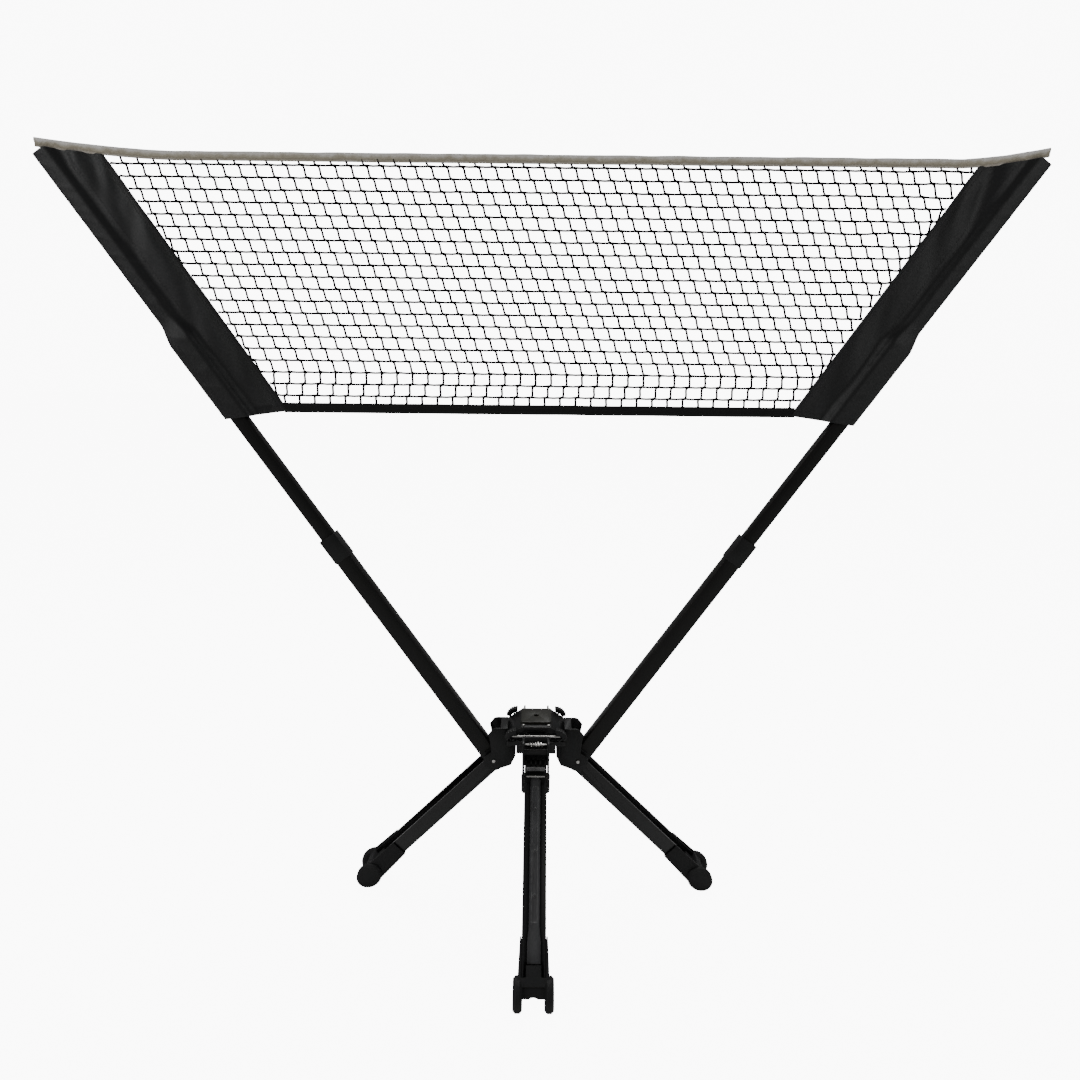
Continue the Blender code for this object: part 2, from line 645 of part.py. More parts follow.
def sleeve(side, hinge):
    """A cloth pocket over the two outer tubes with a flat panel that reaches the net."""
    sign = 1 if side == "right" else -1
    wide = section_tube(SLEEVE_WIDE, None, SLEEVE_START, SLEEVE_STEP + 0.004, radius=0.0040)
    cloth = add_piece(f"sleeve_{side}", wide, "sleeve_cloth", hinge)
    join(cloth, section_tube(SLEEVE_NARROW, None, SLEEVE_STEP, SLEEVE_END, radius=0.0035))
    corners = [(0.2920, 0.5862), PANEL_EDGE_LOW, (panel_edge(0.8800), 0.8800), (0.5480, 0.8800),
               (0.5380, 0.8500), (0.3500, 0.5800)]
    panel = [in_arm_frame(hinge, sign * x, z) for x, z in corners]
    join(cloth, outline([panel], SLEEVE_PANEL, ACROSS))
    cut(cloth, section_tube(SLEEVE_WIDE_BORE, None, SLEEVE_START - 0.030, SLEEVE_STEP, radius=0.0030))
    cut(cloth, section_tube(SLEEVE_NARROW_BORE, None, SLEEVE_STEP - 0.010, SLEEVE_END - 0.008, radius=0.0020))
    stations = [sign * x for x in (0.44, 0.478, 0.500, 0.520, 0.535, TAPE_HALF_LENGTH)]
    trim = [(x, tape_underside(x) - GAP) for x in stations]
    trim += [(sign * 0.60, trim[-1][1]), (sign * 0.60, 0.95), (sign * 0.44, 0.95)]
    boolean(cloth, outline([trim], 0.06, ACROSS), "DIFFERENCE", None)


def net_panel():
    """The net's outline: it fills the space between the sleeves up to the tape."""
    corners = []
    for sign in (-1, 1):
        corner_z = tape_underside(sign * PANEL_EDGE_HIGH[0]) - GAP
        corners.append((sign * (panel_edge(corner_z) - 2 * GAP), corner_z))
    inner = [(x, tape_underside(x) - GAP) for x in tape_stations() if abs(x) < PANEL_EDGE_HIGH[0] - 0.01]
    low_half = panel_edge(NET_BOTTOM) - 2 * GAP
    edge = [(low_half, NET_BOTTOM), (-low_half, NET_BOTTOM), corners[0]] + inner + [corners[1]]
    add_piece("net_mesh", outline([edge], NET_THICKNESS, ACROSS), "net_cord")


def top_tape():
    stations = tape_stations()
    under = [(x, tape_underside(x)) for x in stations]
    over = [(x, tape_underside(x) + TAPE_HEIGHT + 0.12 * tape_rise(x)) for x in reversed(stations)]
    add_piece("top_tape", outline([under + over], TAPE_THICKNESS, ACROSS), "tape_cloth")


def bottom_band():
    low, high = (-0.2898, BAND_BOTTOM), (0.2898, NET_BOTTOM - GAP)
    corners = [low, (high[0] - 0.0008, low[1]), high, (low[0], high[1])]
    add_piece("bottom_band", outline([corners], BAND_THICKNESS, ACROSS), "sleeve_cloth")


# ---- assembly -----------------------------------------------------------------------------
def build_stand():
    hub_core()
    top_plate()
    shoulder_rings()
    cross_pins_and_springs()
    deck_rivets()
    ground = add_tool(block((-0.4, -0.4, -0.1), (0.4, 0.4, 0.0)))
    for side in AZIMUTHS:
        fork_frame = bracket(side)
        pivot_pin(side, fork_frame)
        hinge = frame_at(f"leg_pivot_{side}", pivot_point(side), AZIMUTHS[side], LEG_TILT)
        leg_channel(side, hinge)
        leg_rail(side, hinge)
        foot(side, hinge, ground)


def build_net():
    for side in ("right", "left"):
        sleeve(side, arm(side))
    net_panel()
    top_tape()
    bottom_band()


clear_scene()
parts = new_collection("folding_practice_net")
cutters = new_collection("cutters")
materials = {name: make_material(name, *look) for name, look in LOOKS.items()}
build_stand()
build_net()
bpy.context.view_layer.update()
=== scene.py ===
# %% [markdown]
# # A folding practice net
#
# The net stands on a small plastic hub with four channel-shaped legs. Two telescoping arms rise
# from the hub in a V and hold a low net between them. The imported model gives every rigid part
# its size and place, so this notebook starts by loading it and then spends its effort on the
# surfaces: softened edges, moulded and anodised finishes, and the sewn cloth of the net.

# %% Load the frame
import json
import math

import bmesh
import bpy
from mathutils import Matrix, Vector, noise

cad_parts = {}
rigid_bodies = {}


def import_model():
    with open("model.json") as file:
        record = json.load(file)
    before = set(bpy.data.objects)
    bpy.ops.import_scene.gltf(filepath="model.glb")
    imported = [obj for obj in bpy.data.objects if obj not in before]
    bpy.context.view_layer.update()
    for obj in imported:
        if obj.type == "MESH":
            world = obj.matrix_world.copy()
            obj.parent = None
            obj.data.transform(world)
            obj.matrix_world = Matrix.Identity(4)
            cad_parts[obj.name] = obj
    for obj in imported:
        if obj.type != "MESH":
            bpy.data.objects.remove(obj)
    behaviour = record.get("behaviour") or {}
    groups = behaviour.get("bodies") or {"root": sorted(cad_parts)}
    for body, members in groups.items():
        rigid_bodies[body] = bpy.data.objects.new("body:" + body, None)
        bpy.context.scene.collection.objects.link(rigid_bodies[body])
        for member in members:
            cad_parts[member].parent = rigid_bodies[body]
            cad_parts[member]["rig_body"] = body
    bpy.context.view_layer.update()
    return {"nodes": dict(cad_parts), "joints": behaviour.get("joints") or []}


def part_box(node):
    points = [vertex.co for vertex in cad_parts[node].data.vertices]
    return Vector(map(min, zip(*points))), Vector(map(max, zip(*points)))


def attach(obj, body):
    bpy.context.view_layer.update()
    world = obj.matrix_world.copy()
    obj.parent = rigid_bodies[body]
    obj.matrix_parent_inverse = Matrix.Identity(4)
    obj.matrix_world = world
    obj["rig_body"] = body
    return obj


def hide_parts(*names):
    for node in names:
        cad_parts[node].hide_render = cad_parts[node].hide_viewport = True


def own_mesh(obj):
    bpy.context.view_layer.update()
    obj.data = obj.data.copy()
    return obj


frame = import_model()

# %% [markdown]
# ## Where things are
#
# Positions come from the frame, so nothing has to be fitted by eye. The two hinges at the hub's
# sides give each arm's pivot, and the telescope slides give each arm's direction. From these two
# vectors a pair of helper functions turns "so far along the arm, so far to its inner side" into
# a point in space.

# %% Pivots and arm directions
joints = {joint["name"]: joint for joint in frame["joints"]}
PIVOT = {side: Vector(joints[f"{side}_arm_fold"]["pos_m"]) for side in ("right", "left")}
ALONG = {side: Vector(joints[f"{side}_mid_slide"]["axis"]).normalized() for side in ("right", "left")}
SIDE_SIGN = {"right": 1.0, "left": -1.0}


def inward(side):
    """The direction square to the arm, toward the net."""
    along = ALONG[side]
    return Vector((-along.z * SIDE_SIGN[side], 0.0, abs(along.x)))


def on_arm(side, along, across, depth=0.0):
    return PIVOT[side] + ALONG[side] * along + inward(side) * across + Vector((0.0, depth, 0.0))


def arm_coordinates(side, point):
    offset = Vector(point) - PIVOT[side]
    return offset.dot(ALONG[side]), offset.dot(inward(side))


print("arm angle", round(math.degrees(math.asin(ALONG["right"].z)), 1), "degrees")

# %% Measurements of the cloth parts
net_low, net_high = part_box("net_mesh")
tape_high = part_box("top_tape")[1]
band_low, band_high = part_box("bottom_band")
TAPE_HALF = tape_high.x
TAPE_LEVEL = net_high.z
print("tape ends at", round(TAPE_HALF, 4), "net from", round(net_low.z, 4), "to", round(net_high.z, 4))

# %% [markdown]
# ## Helpers for pieces
#
# A finished piece is a mesh that sits at the origin with its place in its own points. Each one rides on a
# body of the frame, so it moves with the joints, and the plain solids it stands for are hidden. One helper
# does that for every piece.


# %% Turn a bmesh into a finished piece
def finish_piece(name, bm, material, body, stands_for=(), smooth_angle=40.0, outward=True):
    if outward:
        bmesh.ops.recalc_face_normals(bm, faces=bm.faces)
    mesh = bpy.data.meshes.new(name)
    bm.to_mesh(mesh)
    bm.free()
    mesh.shade_smooth()
    if smooth_angle < 180:
        mesh.set_sharp_from_angle(angle=math.radians(smooth_angle))
    mesh.materials.append(material)
    piece = bpy.data.objects.new(name, mesh)
    bpy.context.scene.collection.objects.link(piece)
    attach(piece, body)
    if stands_for:
        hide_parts(*stands_for)
    return piece


# %% [markdown]
# ## Shader groups
#
# Real black plastic, anodised aluminium and nylon cloth differ in how they catch light far more than in
# colour. Four small node groups are shared by the materials: a moulded grain, a brushed or drawn grain, a
# woven cloth, and paler rims along edges, which are a painted highlight broken up like wear. A group only
# puts out values that change over the surface, and the shader itself stays in each material.


# %% Group tools
def new_group(name, inputs, outputs):
    group = bpy.data.node_groups.new(name, "ShaderNodeTree")
    for label, kind, value in inputs:
        socket = group.interface.new_socket(name=label, in_out="INPUT", socket_type=kind)
        if value is not None:
            socket.default_value = value
    for label, kind in outputs:
        group.interface.new_socket(name=label, in_out="OUTPUT", socket_type=kind)
    entry = group.nodes.new("NodeGroupInput")
    leave = group.nodes.new("NodeGroupOutput")
    return group, entry, leave


def add_node(tree, kind, **settings):
    node = tree.nodes.new(kind)
    for key, value in settings.items():
        setattr(node, key, value)
    return node


def math_node(tree, operation, first, second):
    node = add_node(tree, "ShaderNodeMath", operation=operation)
    for socket, value in zip(node.inputs, (first, second)):
        if isinstance(value, (int, float)):
            socket.default_value = value
        else:
            tree.links.new(value, socket)
    return node.outputs[0]


def ranged(tree, value, low, high, from_low=0.0, from_high=1.0):
    """Map a value from one range to another, clamped."""
    node = add_node(tree, "ShaderNodeMapRange")
    tree.links.new(value, node.inputs["Value"])
    for label, item in (("From Min", from_low), ("From Max", from_high), ("To Min", low), ("To Max", high)):
        if isinstance(item, (int, float)):
            node.inputs[label].default_value = item
        else:
            tree.links.new(item, node.inputs[label])
    return node.outputs["Result"]


def mixed(tree, share, first, second):
    """Mix two colours; share may be a socket or a number."""
    node = add_node(tree, "ShaderNodeMix", data_type="RGBA")
    for socket, value in ((node.inputs[0], share), (node.inputs[6], first), (node.inputs[7], second)):
        if isinstance(value, bpy.types.NodeSocket):
            tree.links.new(value, socket)
        elif isinstance(value, (int, float)):
            socket.default_value = value
        else:
            socket.default_value = (*value[:3], 1.0)
    return node.outputs[2]


# %% Moulded grain: fine pebbling and a slow drift of gloss
def build_moulded_grain():
    group, entry, leave = new_group(
        "moulded_grain",
        [("Scale", "NodeSocketFloat", 1800.0), ("Depth", "NodeSocketFloat", 0.12),
         ("Gloss Low", "NodeSocketFloat", 0.32), ("Gloss High", "NodeSocketFloat", 0.50)],
        [("Roughness", "NodeSocketFloat"), ("Patch", "NodeSocketFloat"), ("Normal", "NodeSocketVector")])
    place = add_node(group, "ShaderNodeTexCoord")
    fine = add_node(group, "ShaderNodeTexNoise")
    fine.inputs["Detail"].default_value = 3.0
    slow = add_node(group, "ShaderNodeTexNoise")
    slow.inputs["Scale"].default_value = 38.0
    slow.inputs["Detail"].default_value = 5.0
    group.links.new(place.outputs["Object"], fine.inputs["Vector"])
    group.links.new(place.outputs["Object"], slow.inputs["Vector"])
    group.links.new(entry.outputs["Scale"], fine.inputs["Scale"])
    gloss = ranged(group, slow.outputs["Fac"], entry.outputs["Gloss Low"], entry.outputs["Gloss High"],
                   0.3, 0.7)
    bump = add_node(group, "ShaderNodeBump")
    bump.inputs["Distance"].default_value = 0.00025
    group.links.new(entry.outputs["Depth"], bump.inputs["Strength"])
    group.links.new(fine.outputs["Fac"], bump.inputs["Height"])
    group.links.new(gloss, leave.inputs["Roughness"])
    group.links.new(slow.outputs["Fac"], leave.inputs["Patch"])
    group.links.new(bump.outputs["Normal"], leave.inputs["Normal"])
    return group


MOULDED = build_moulded_grain()
print("group", MOULDED.name)


# %% Rims: paler, smoother bevels, a painted highlight along every sharp edge, broken up in patches like wear
def build_rim_highlight_and_wear():
    group, entry, leave = new_group(
        "rim_highlight_and_wear",
        [("Amount", "NodeSocketFloat", 0.6), ("Breakup", "NodeSocketFloat", 240.0)],
        [("Mask", "NodeSocketFloat")])
    rim = add_node(group, "ShaderNodeAttribute", attribute_name="rim")
    place = add_node(group, "ShaderNodeTexCoord")
    patches = add_node(group, "ShaderNodeTexNoise")
    patches.inputs["Detail"].default_value = 4.0
    group.links.new(place.outputs["Object"], patches.inputs["Vector"])
    group.links.new(entry.outputs["Breakup"], patches.inputs["Scale"])
    broken = ranged(group, patches.outputs["Fac"], 0.15, 1.0, 0.35, 0.65)
    # The rim mask paints every bevel paler: a painted highlight, broken up in patches like wear.
    mask = math_node(group, "MULTIPLY", rim.outputs["Fac"], broken)
    group.links.new(math_node(group, "MULTIPLY", mask, entry.outputs["Amount"]), leave.inputs["Mask"])
    return group


RIM_HIGHLIGHT_AND_WEAR = build_rim_highlight_and_wear()
print("group", RIM_HIGHLIGHT_AND_WEAR.name)


# %% Woven cloth: crossing threads that follow the piece's own UV map, in metres
def build_weave():
    group, entry, leave = new_group(
        "weave",
        [("Threads", "NodeSocketFloat", 1400.0), ("Depth", "NodeSocketFloat", 0.4),
         ("Slub", "NodeSocketFloat", 0.5)],
        [("Height", "NodeSocketFloat"), ("Patch", "NodeSocketFloat"), ("Normal", "NodeSocketVector")])
    place = add_node(group, "ShaderNodeUVMap")
    split = add_node(group, "ShaderNodeSeparateXYZ")
    group.links.new(place.outputs["UV"], split.inputs["Vector"])
    waves = []
    for axis in ("X", "Y"):
        turn = math_node(group, "MULTIPLY", split.outputs[axis], entry.outputs["Threads"])
        turn = math_node(group, "MULTIPLY", turn, 2 * math.pi)
        waves.append(math_node(group, "SINE", turn, 0.0))
    crossing = math_node(group, "MULTIPLY", waves[0], waves[1])
    slub = add_node(group, "ShaderNodeTexNoise")
    slub.inputs["Scale"].default_value = 160.0
    slub.inputs["Detail"].default_value = 4.0
    group.links.new(place.outputs["UV"], slub.inputs["Vector"])
    uneven = math_node(group, "MULTIPLY", slub.outputs["Fac"], entry.outputs["Slub"])
    height = math_node(group, "ADD", crossing, uneven)
    bump = add_node(group, "ShaderNodeBump")
    bump.inputs["Distance"].default_value = 0.00012
    group.links.new(entry.outputs["Depth"], bump.inputs["Strength"])
    group.links.new(height, bump.inputs["Height"])
    group.links.new(ranged(group, crossing, 0.0, 1.0, -1.0, 1.0), leave.inputs["Height"])
    group.links.new(slub.outputs["Fac"], leave.inputs["Patch"])
    group.links.new(bump.outputs["Normal"], leave.inputs["Normal"])
    return group


WEAVE = build_weave()
print("group", WEAVE.name)


# %% Drawn grain: the faint lines that run along an extruded tube
def build_drawn_grain():
    group, entry, leave = new_group(
        "drawn_grain",
        [("Angle", "NodeSocketFloat", 0.0), ("Depth", "NodeSocketFloat", 0.08)],
        [("Line", "NodeSocketFloat"), ("Normal", "NodeSocketVector")])
    place = add_node(group, "ShaderNodeTexCoord")
    turn = add_node(group, "ShaderNodeVectorRotate", rotation_type="Y_AXIS")
    stretch = add_node(group, "ShaderNodeMapping")
    stretch.inputs["Scale"].default_value = (12.0, 1500.0, 1500.0)
    lines = add_node(group, "ShaderNodeTexNoise")
    lines.inputs["Scale"].default_value = 1.0
    lines.inputs["Detail"].default_value = 2.0
    group.links.new(place.outputs["Object"], turn.inputs["Vector"])
    group.links.new(entry.outputs["Angle"], turn.inputs["Angle"])
    group.links.new(turn.outputs["Vector"], stretch.inputs["Vector"])
    group.links.new(stretch.outputs["Vector"], lines.inputs["Vector"])
    bump = add_node(group, "ShaderNodeBump")
    bump.inputs["Distance"].default_value = 0.0001
    group.links.new(entry.outputs["Depth"], bump.inputs["Strength"])
    group.links.new(lines.outputs["Fac"], bump.inputs["Height"])
    group.links.new(lines.outputs["Fac"], leave.inputs["Line"])
    group.links.new(bump.outputs["Normal"], leave.inputs["Normal"])
    return group


DRAWN = build_drawn_grain()
print("group", DRAWN.name)

# %% [markdown]
# ## Finishes of the hard parts
#
# The hub, forks, legs and collars are glass-filled nylon: near black, satin, with a fine grain. Their
# bevelled rims are painted paler, a painted highlight broken up like wear. The guide strips in the legs are
# painted grey, a painted highlight for the light they catch from above because they face up, and they are
# also moulded smoother. The tubes are black anodised aluminium. Pins and springs are plated steel, and the
# toes are matt rubber. One function makes the plastics, because only their numbers differ.


# %% Plastics and rubber
def start_material(name, metallic=0.0, specular=0.5):
    material = bpy.data.materials.new(name)
    material.use_nodes = True
    tree = material.node_tree
    shader = tree.nodes["Principled BSDF"]
    shader.inputs["Metallic"].default_value = metallic
    shader.inputs["Specular IOR Level"].default_value = specular
    return material, tree, shader


def use_group(tree, group, **values):
    node = add_node(tree, "ShaderNodeGroup", node_tree=group)
    for label, value in values.items():
        node.inputs[label.replace("_", " ")].default_value = value
    return node


def moulded_material(name, colour, rim_highlight_colour, gloss, grain=1800.0, depth=0.12, rim_strength=0.6, coat=0.0):
    material, tree, shader = start_material(name, specular=0.35)
    grain_node = use_group(tree, MOULDED, Scale=grain, Depth=depth, Gloss_Low=gloss[0], Gloss_High=gloss[1])
    rim_node = use_group(tree, RIM_HIGHLIGHT_AND_WEAR, Amount=rim_strength)
    paler = tuple(min(1.0, channel * 1.35 + 0.002) for channel in colour)
    patched = mixed(tree, ranged(tree, grain_node.outputs["Patch"], 0.0, 1.0, 0.35, 0.7), colour, paler)
    # Bevelled rims are painted paler here: a painted highlight, broken up like wear.
    tree.links.new(mixed(tree, rim_node.outputs["Mask"], patched, rim_highlight_colour), shader.inputs["Base Color"])
    smoother = math_node(tree, "MULTIPLY", rim_node.outputs["Mask"], 0.14)
    tree.links.new(math_node(tree, "SUBTRACT", grain_node.outputs["Roughness"], smoother),
                   shader.inputs["Roughness"])
    tree.links.new(grain_node.outputs["Normal"], shader.inputs["Normal"])
    if coat:
        shader.inputs["Coat Weight"].default_value = coat
        shader.inputs["Coat Roughness"].default_value = 0.15
    return material


# The second colour of each is painted on its bevelled rims: a painted highlight, broken up like wear.
HUB_NYLON = moulded_material("hub_nylon", (0.0030, 0.0030, 0.0032), (0.060, 0.060, 0.060), (0.36, 0.52))
LEG_NYLON = moulded_material("leg_nylon", (0.0030, 0.0030, 0.0032), (0.110, 0.110, 0.110), (0.26, 0.42),
                             coat=0.25)
# The guide strips' grey base colour is a painted highlight for the light they catch from above, because they
# face up.
RAIL_NYLON = moulded_material("rail_nylon", (0.085, 0.085, 0.088), (0.340, 0.340, 0.340), (0.24, 0.38),
                              depth=0.06)
PLATE_NYLON = moulded_material("plate_nylon", (0.016, 0.016, 0.012), (0.070, 0.068, 0.060), (0.34, 0.46))
TOE_RUBBER = moulded_material("toe_rubber", (0.0060, 0.0060, 0.0064), (0.040, 0.040, 0.040), (0.55, 0.74),
                              grain=900.0, depth=0.3, rim_strength=0.5)
print("plastics made")


# %% Anodised tubes and plated steel
def anodised_material(name, angle):
    material, tree, shader = start_material(name, metallic=0.55)
    drawn = use_group(tree, DRAWN, Angle=angle)
    rim_node = use_group(tree, RIM_HIGHLIGHT_AND_WEAR, Amount=0.55, Breakup=150.0)
    base = mixed(tree, drawn.outputs["Line"], (0.006, 0.006, 0.006), (0.012, 0.011, 0.010))
    # Bevelled rims are painted paler here: a painted highlight, broken up like wear.
    worn = mixed(tree, rim_node.outputs["Mask"], base, (0.10, 0.10, 0.095))
    tree.links.new(worn, shader.inputs["Base Color"])
    tree.links.new(ranged(tree, drawn.outputs["Line"], 0.30, 0.46, 0.3, 0.7), shader.inputs["Roughness"])
    tree.links.new(drawn.outputs["Normal"], shader.inputs["Normal"])
    return material


def steel_material():
    material, tree, shader = start_material("plated_steel", metallic=1.0)
    grain_node = use_group(tree, MOULDED, Scale=700.0, Depth=0.05, Gloss_Low=0.16, Gloss_High=0.34)
    bright = mixed(tree, grain_node.outputs["Patch"], (0.50, 0.49, 0.47), (0.74, 0.73, 0.70))
    tree.links.new(bright, shader.inputs["Base Color"])
    tree.links.new(grain_node.outputs["Roughness"], shader.inputs["Roughness"])
    tree.links.new(grain_node.outputs["Normal"], shader.inputs["Normal"])
    return material


arm_turn = math.asin(ALONG["right"].z)
TUBE_BLACK = {"right": anodised_material("anodised_right", arm_turn),
              "left": anodised_material("anodised_left", math.pi - arm_turn)}
STEEL = steel_material()
print("metals made")

# %% [markdown]
# ## Soften the hard parts
#
# No moulded or extruded part has a knife edge. A thin rounded rim catches a line of light, and on a black
# object those lines are most of what the eye sees. Each rigid solid is copied, its loose triangles are merged
# back into flat faces, and every sharp edge gets a small bevel. The bevel's faces are marked in a colour
# attribute called rim, which a node group reads to paint them paler: a painted highlight, broken up like
# wear.


# %% Copy, merge and bevel one solid
WELD_DISTANCE = 0.00002
FLAT_ANGLE = math.radians(1.5)
SHARP_ANGLE = math.radians(28.0)
BLOCK_BEVEL, FORK_BEVEL, SMALL_BEVEL, PIN_BEVEL, TOE_BEVEL = 0.0005, 0.0004, 0.0003, 0.0002, 0.0009


def softened(node, material, width, segments=2, rim_strength=1.0):
    bm = bmesh.new()
    bm.from_mesh(frame["nodes"][node].data)
    bmesh.ops.remove_doubles(bm, verts=bm.verts, dist=WELD_DISTANCE)
    bmesh.ops.dissolve_limit(bm, angle_limit=FLAT_ANGLE, verts=bm.verts, edges=bm.edges)
    sharp = [edge for edge in bm.edges
             if len(edge.link_faces) == 2 and edge.calc_face_angle(0.0) > SHARP_ANGLE]
    made = bmesh.ops.bevel(bm, geom=sharp, offset=width, offset_type="OFFSET", segments=segments, profile=0.5,
                           affect="EDGES", clamp_overlap=True, material=-1)
    # Bevel faces get the rim value, which paints them paler: a painted highlight, broken up like wear.
    rim = bm.loops.layers.float_color.new("rim")
    bevelled = set(made["faces"])
    for face in bm.faces:
        value = rim_strength if face in bevelled else 0.0
        for loop in face.loops:
            loop[rim] = (value, value, value, 1.0)
    body = frame["nodes"][node]["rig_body"]
    return finish_piece(f"{node}_finished", bm, material, body, (node,), 38.0, outward=False)


# %% The hub and its small metal
softened("hub_core", HUB_NYLON, BLOCK_BEVEL)
softened("top_plate", PLATE_NYLON, BLOCK_BEVEL)
for end in ("front", "rear"):
    for part in ("cross_pin", "spring_axle"):
        softened(f"{part}_{end}", STEEL, PIN_BEVEL)
    frame["nodes"][f"lock_spring_{end}"].data.materials[0] = STEEL
    for side in ("left", "right"):
        softened(f"shoulder_ring_{end}_{side}", HUB_NYLON, SMALL_BEVEL)
        softened(f"deck_rivet_{end}_{side}", STEEL, FORK_BEVEL)
print("hub softened")

# %% Forks, pins and legs
for side in ("right", "front", "left", "rear"):
    softened(f"bracket_{side}", HUB_NYLON, FORK_BEVEL)
    softened(f"pivot_pin_{side}", STEEL, PIN_BEVEL)
    softened(f"leg_{side}", LEG_NYLON, BLOCK_BEVEL)
    softened(f"leg_rail_{side}", RAIL_NYLON, SMALL_BEVEL)
    softened(f"foot_{side}", TOE_RUBBER, TOE_BEVEL, segments=3, rim_strength=0.7)
print("legs softened")

# %% Arms
for side in ("right", "left"):
    softened(f"arm_knuckle_{side}", HUB_NYLON, BLOCK_BEVEL)
    for part in ("lower_tube", "mid_tube", "upper_tube"):
        softened(f"{part}_{side}", TUBE_BLACK[side], PIN_BEVEL, segments=1)
    for part in ("lower_collar", "mid_collar", "mid_bush", "upper_bush", "tip_cap"):
        softened(f"{part}_{side}", HUB_NYLON, SMALL_BEVEL)
print("arms softened")

# %% [markdown]
# ## Cloth and cord finishes
#
# The sleeves are black nylon with a low sheen, so their weave is fine and the folds show as soft grey bands.
# The tape is off-white, and its lower half is painted olive brown: a painted shade under its rolled top. Both
# read a UV map laid out in metres, so a thread has its real size. The net's cord is dull, with a fine knitted
# grain.


# %% Sleeve cloth and band webbing
def cloth_material(name, colour, raised, roughness, threads, depth, sheen, specular=0.25):
    material, tree, shader = start_material(name, specular=specular)
    weave = use_group(tree, WEAVE, Threads=threads, Depth=depth, Slub=0.5)
    thread = mixed(tree, weave.outputs["Height"], colour, raised)
    worn = mixed(tree, ranged(tree, weave.outputs["Patch"], 0.0, 0.35, 0.45, 0.75), thread, raised)
    tree.links.new(worn, shader.inputs["Base Color"])
    shine = ranged(tree, weave.outputs["Height"], roughness + 0.08, roughness - 0.06)
    tree.links.new(shine, shader.inputs["Roughness"])
    tree.links.new(weave.outputs["Normal"], shader.inputs["Normal"])
    shader.inputs["Sheen Weight"].default_value = sheen
    shader.inputs["Sheen Roughness"].default_value = 0.45
    return material


SLEEVE_CLOTH = cloth_material("sleeve_nylon", (0.0028, 0.0028, 0.0032), (0.0060, 0.0060, 0.0066),
                              roughness=0.34, threads=1300.0, depth=0.30, sheen=0.04, specular=0.5)
BAND_CLOTH = cloth_material("band_webbing", (0.0030, 0.0030, 0.0030), (0.0090, 0.0090, 0.0090),
                            roughness=0.68, threads=620.0, depth=0.7, sheen=0.05)
THREAD = cloth_material("black_thread", (0.0120, 0.0120, 0.0125), (0.0300, 0.0300, 0.0310),
                        roughness=0.60, threads=900.0, depth=0.5, sheen=0.10)
TAPE_THREAD = cloth_material("tape_thread", (0.300, 0.270, 0.215), (0.440, 0.410, 0.350),
                             roughness=0.80, threads=900.0, depth=0.4, sheen=0.05)
print("cloth made")


# %% Net cord
def cord_material():
    material, tree, shader = start_material("net_cord", specular=0.15)
    grain_node = use_group(tree, MOULDED, Scale=1500.0, Depth=0.8, Gloss_Low=0.66, Gloss_High=0.86)
    tone = mixed(tree, grain_node.outputs["Patch"], (0.0035, 0.0035, 0.0035), (0.0090, 0.0090, 0.0090))
    tree.links.new(tone, shader.inputs["Base Color"])
    tree.links.new(grain_node.outputs["Roughness"], shader.inputs["Roughness"])
    tree.links.new(grain_node.outputs["Normal"], shader.inputs["Normal"])
    return material


NET_CORD = cord_material()


# %% Top tape
def tape_material():
    material, tree, shader = start_material("tape_cloth")
    weave = use_group(tree, WEAVE, Threads=900.0, Depth=0.6, Slub=0.8)
    height = add_node(tree, "ShaderNodeAttribute", attribute_name="tape_height")
    place = add_node(tree, "ShaderNodeTexCoord")
    mottle = add_node(tree, "ShaderNodeTexNoise")
    mottle.inputs["Scale"].default_value = 95.0
    mottle.inputs["Detail"].default_value = 5.0
    tree.links.new(place.outputs["Object"], mottle.inputs["Vector"])
    drift = ranged(tree, mottle.outputs["Fac"], -0.16, 0.16, 0.3, 0.7)
    # The ramp paints the tape's lower half olive brown, darkest about a third of the way up: painted shade
    # under the rolled top.
    ramp = add_node(tree, "ShaderNodeValToRGB")
    stops = ((0.00, (0.620, 0.580, 0.520)), (0.30, (0.400, 0.355, 0.265)), (0.52, (0.560, 0.520, 0.420)),
             (0.76, (0.900, 0.880, 0.830)), (1.00, (0.960, 0.950, 0.930)))
    while len(ramp.color_ramp.elements) < len(stops):
        ramp.color_ramp.elements.new(0.5)
    for element, (position, colour) in zip(ramp.color_ramp.elements, stops):
        element.position = position
        element.color = (*colour, 1.0)
    tree.links.new(math_node(tree, "ADD", height.outputs["Fac"], drift), ramp.inputs["Fac"])
    shaded = ranged(tree, weave.outputs["Height"], 0.0, 0.22)
    thread = mixed(tree, shaded, ramp.outputs["Color"], (0.260, 0.230, 0.170))
    tree.links.new(thread, shader.inputs["Base Color"])
    tree.links.new(ranged(tree, weave.outputs["Patch"], 0.78, 0.94), shader.inputs["Roughness"])
    tree.links.new(weave.outputs["Normal"], shader.inputs["Normal"])
    shader.inputs["Sheen Weight"].default_value = 0.12
    return material


TAPE_CLOTH = tape_material()
print("tape and cord made")

# %% [markdown]
# ## The net
#
# The net is knotless: long cords run level, and short S-shaped links lean from one row to the
# next, always the same way, where the machine crossed the strands. Copying a single modelled
# link is cheap and lets every cell be a little different. A tube is swept once for a link and
# once for a stretch of row cord, and each copy is sheared or stretched onto its own two ends.


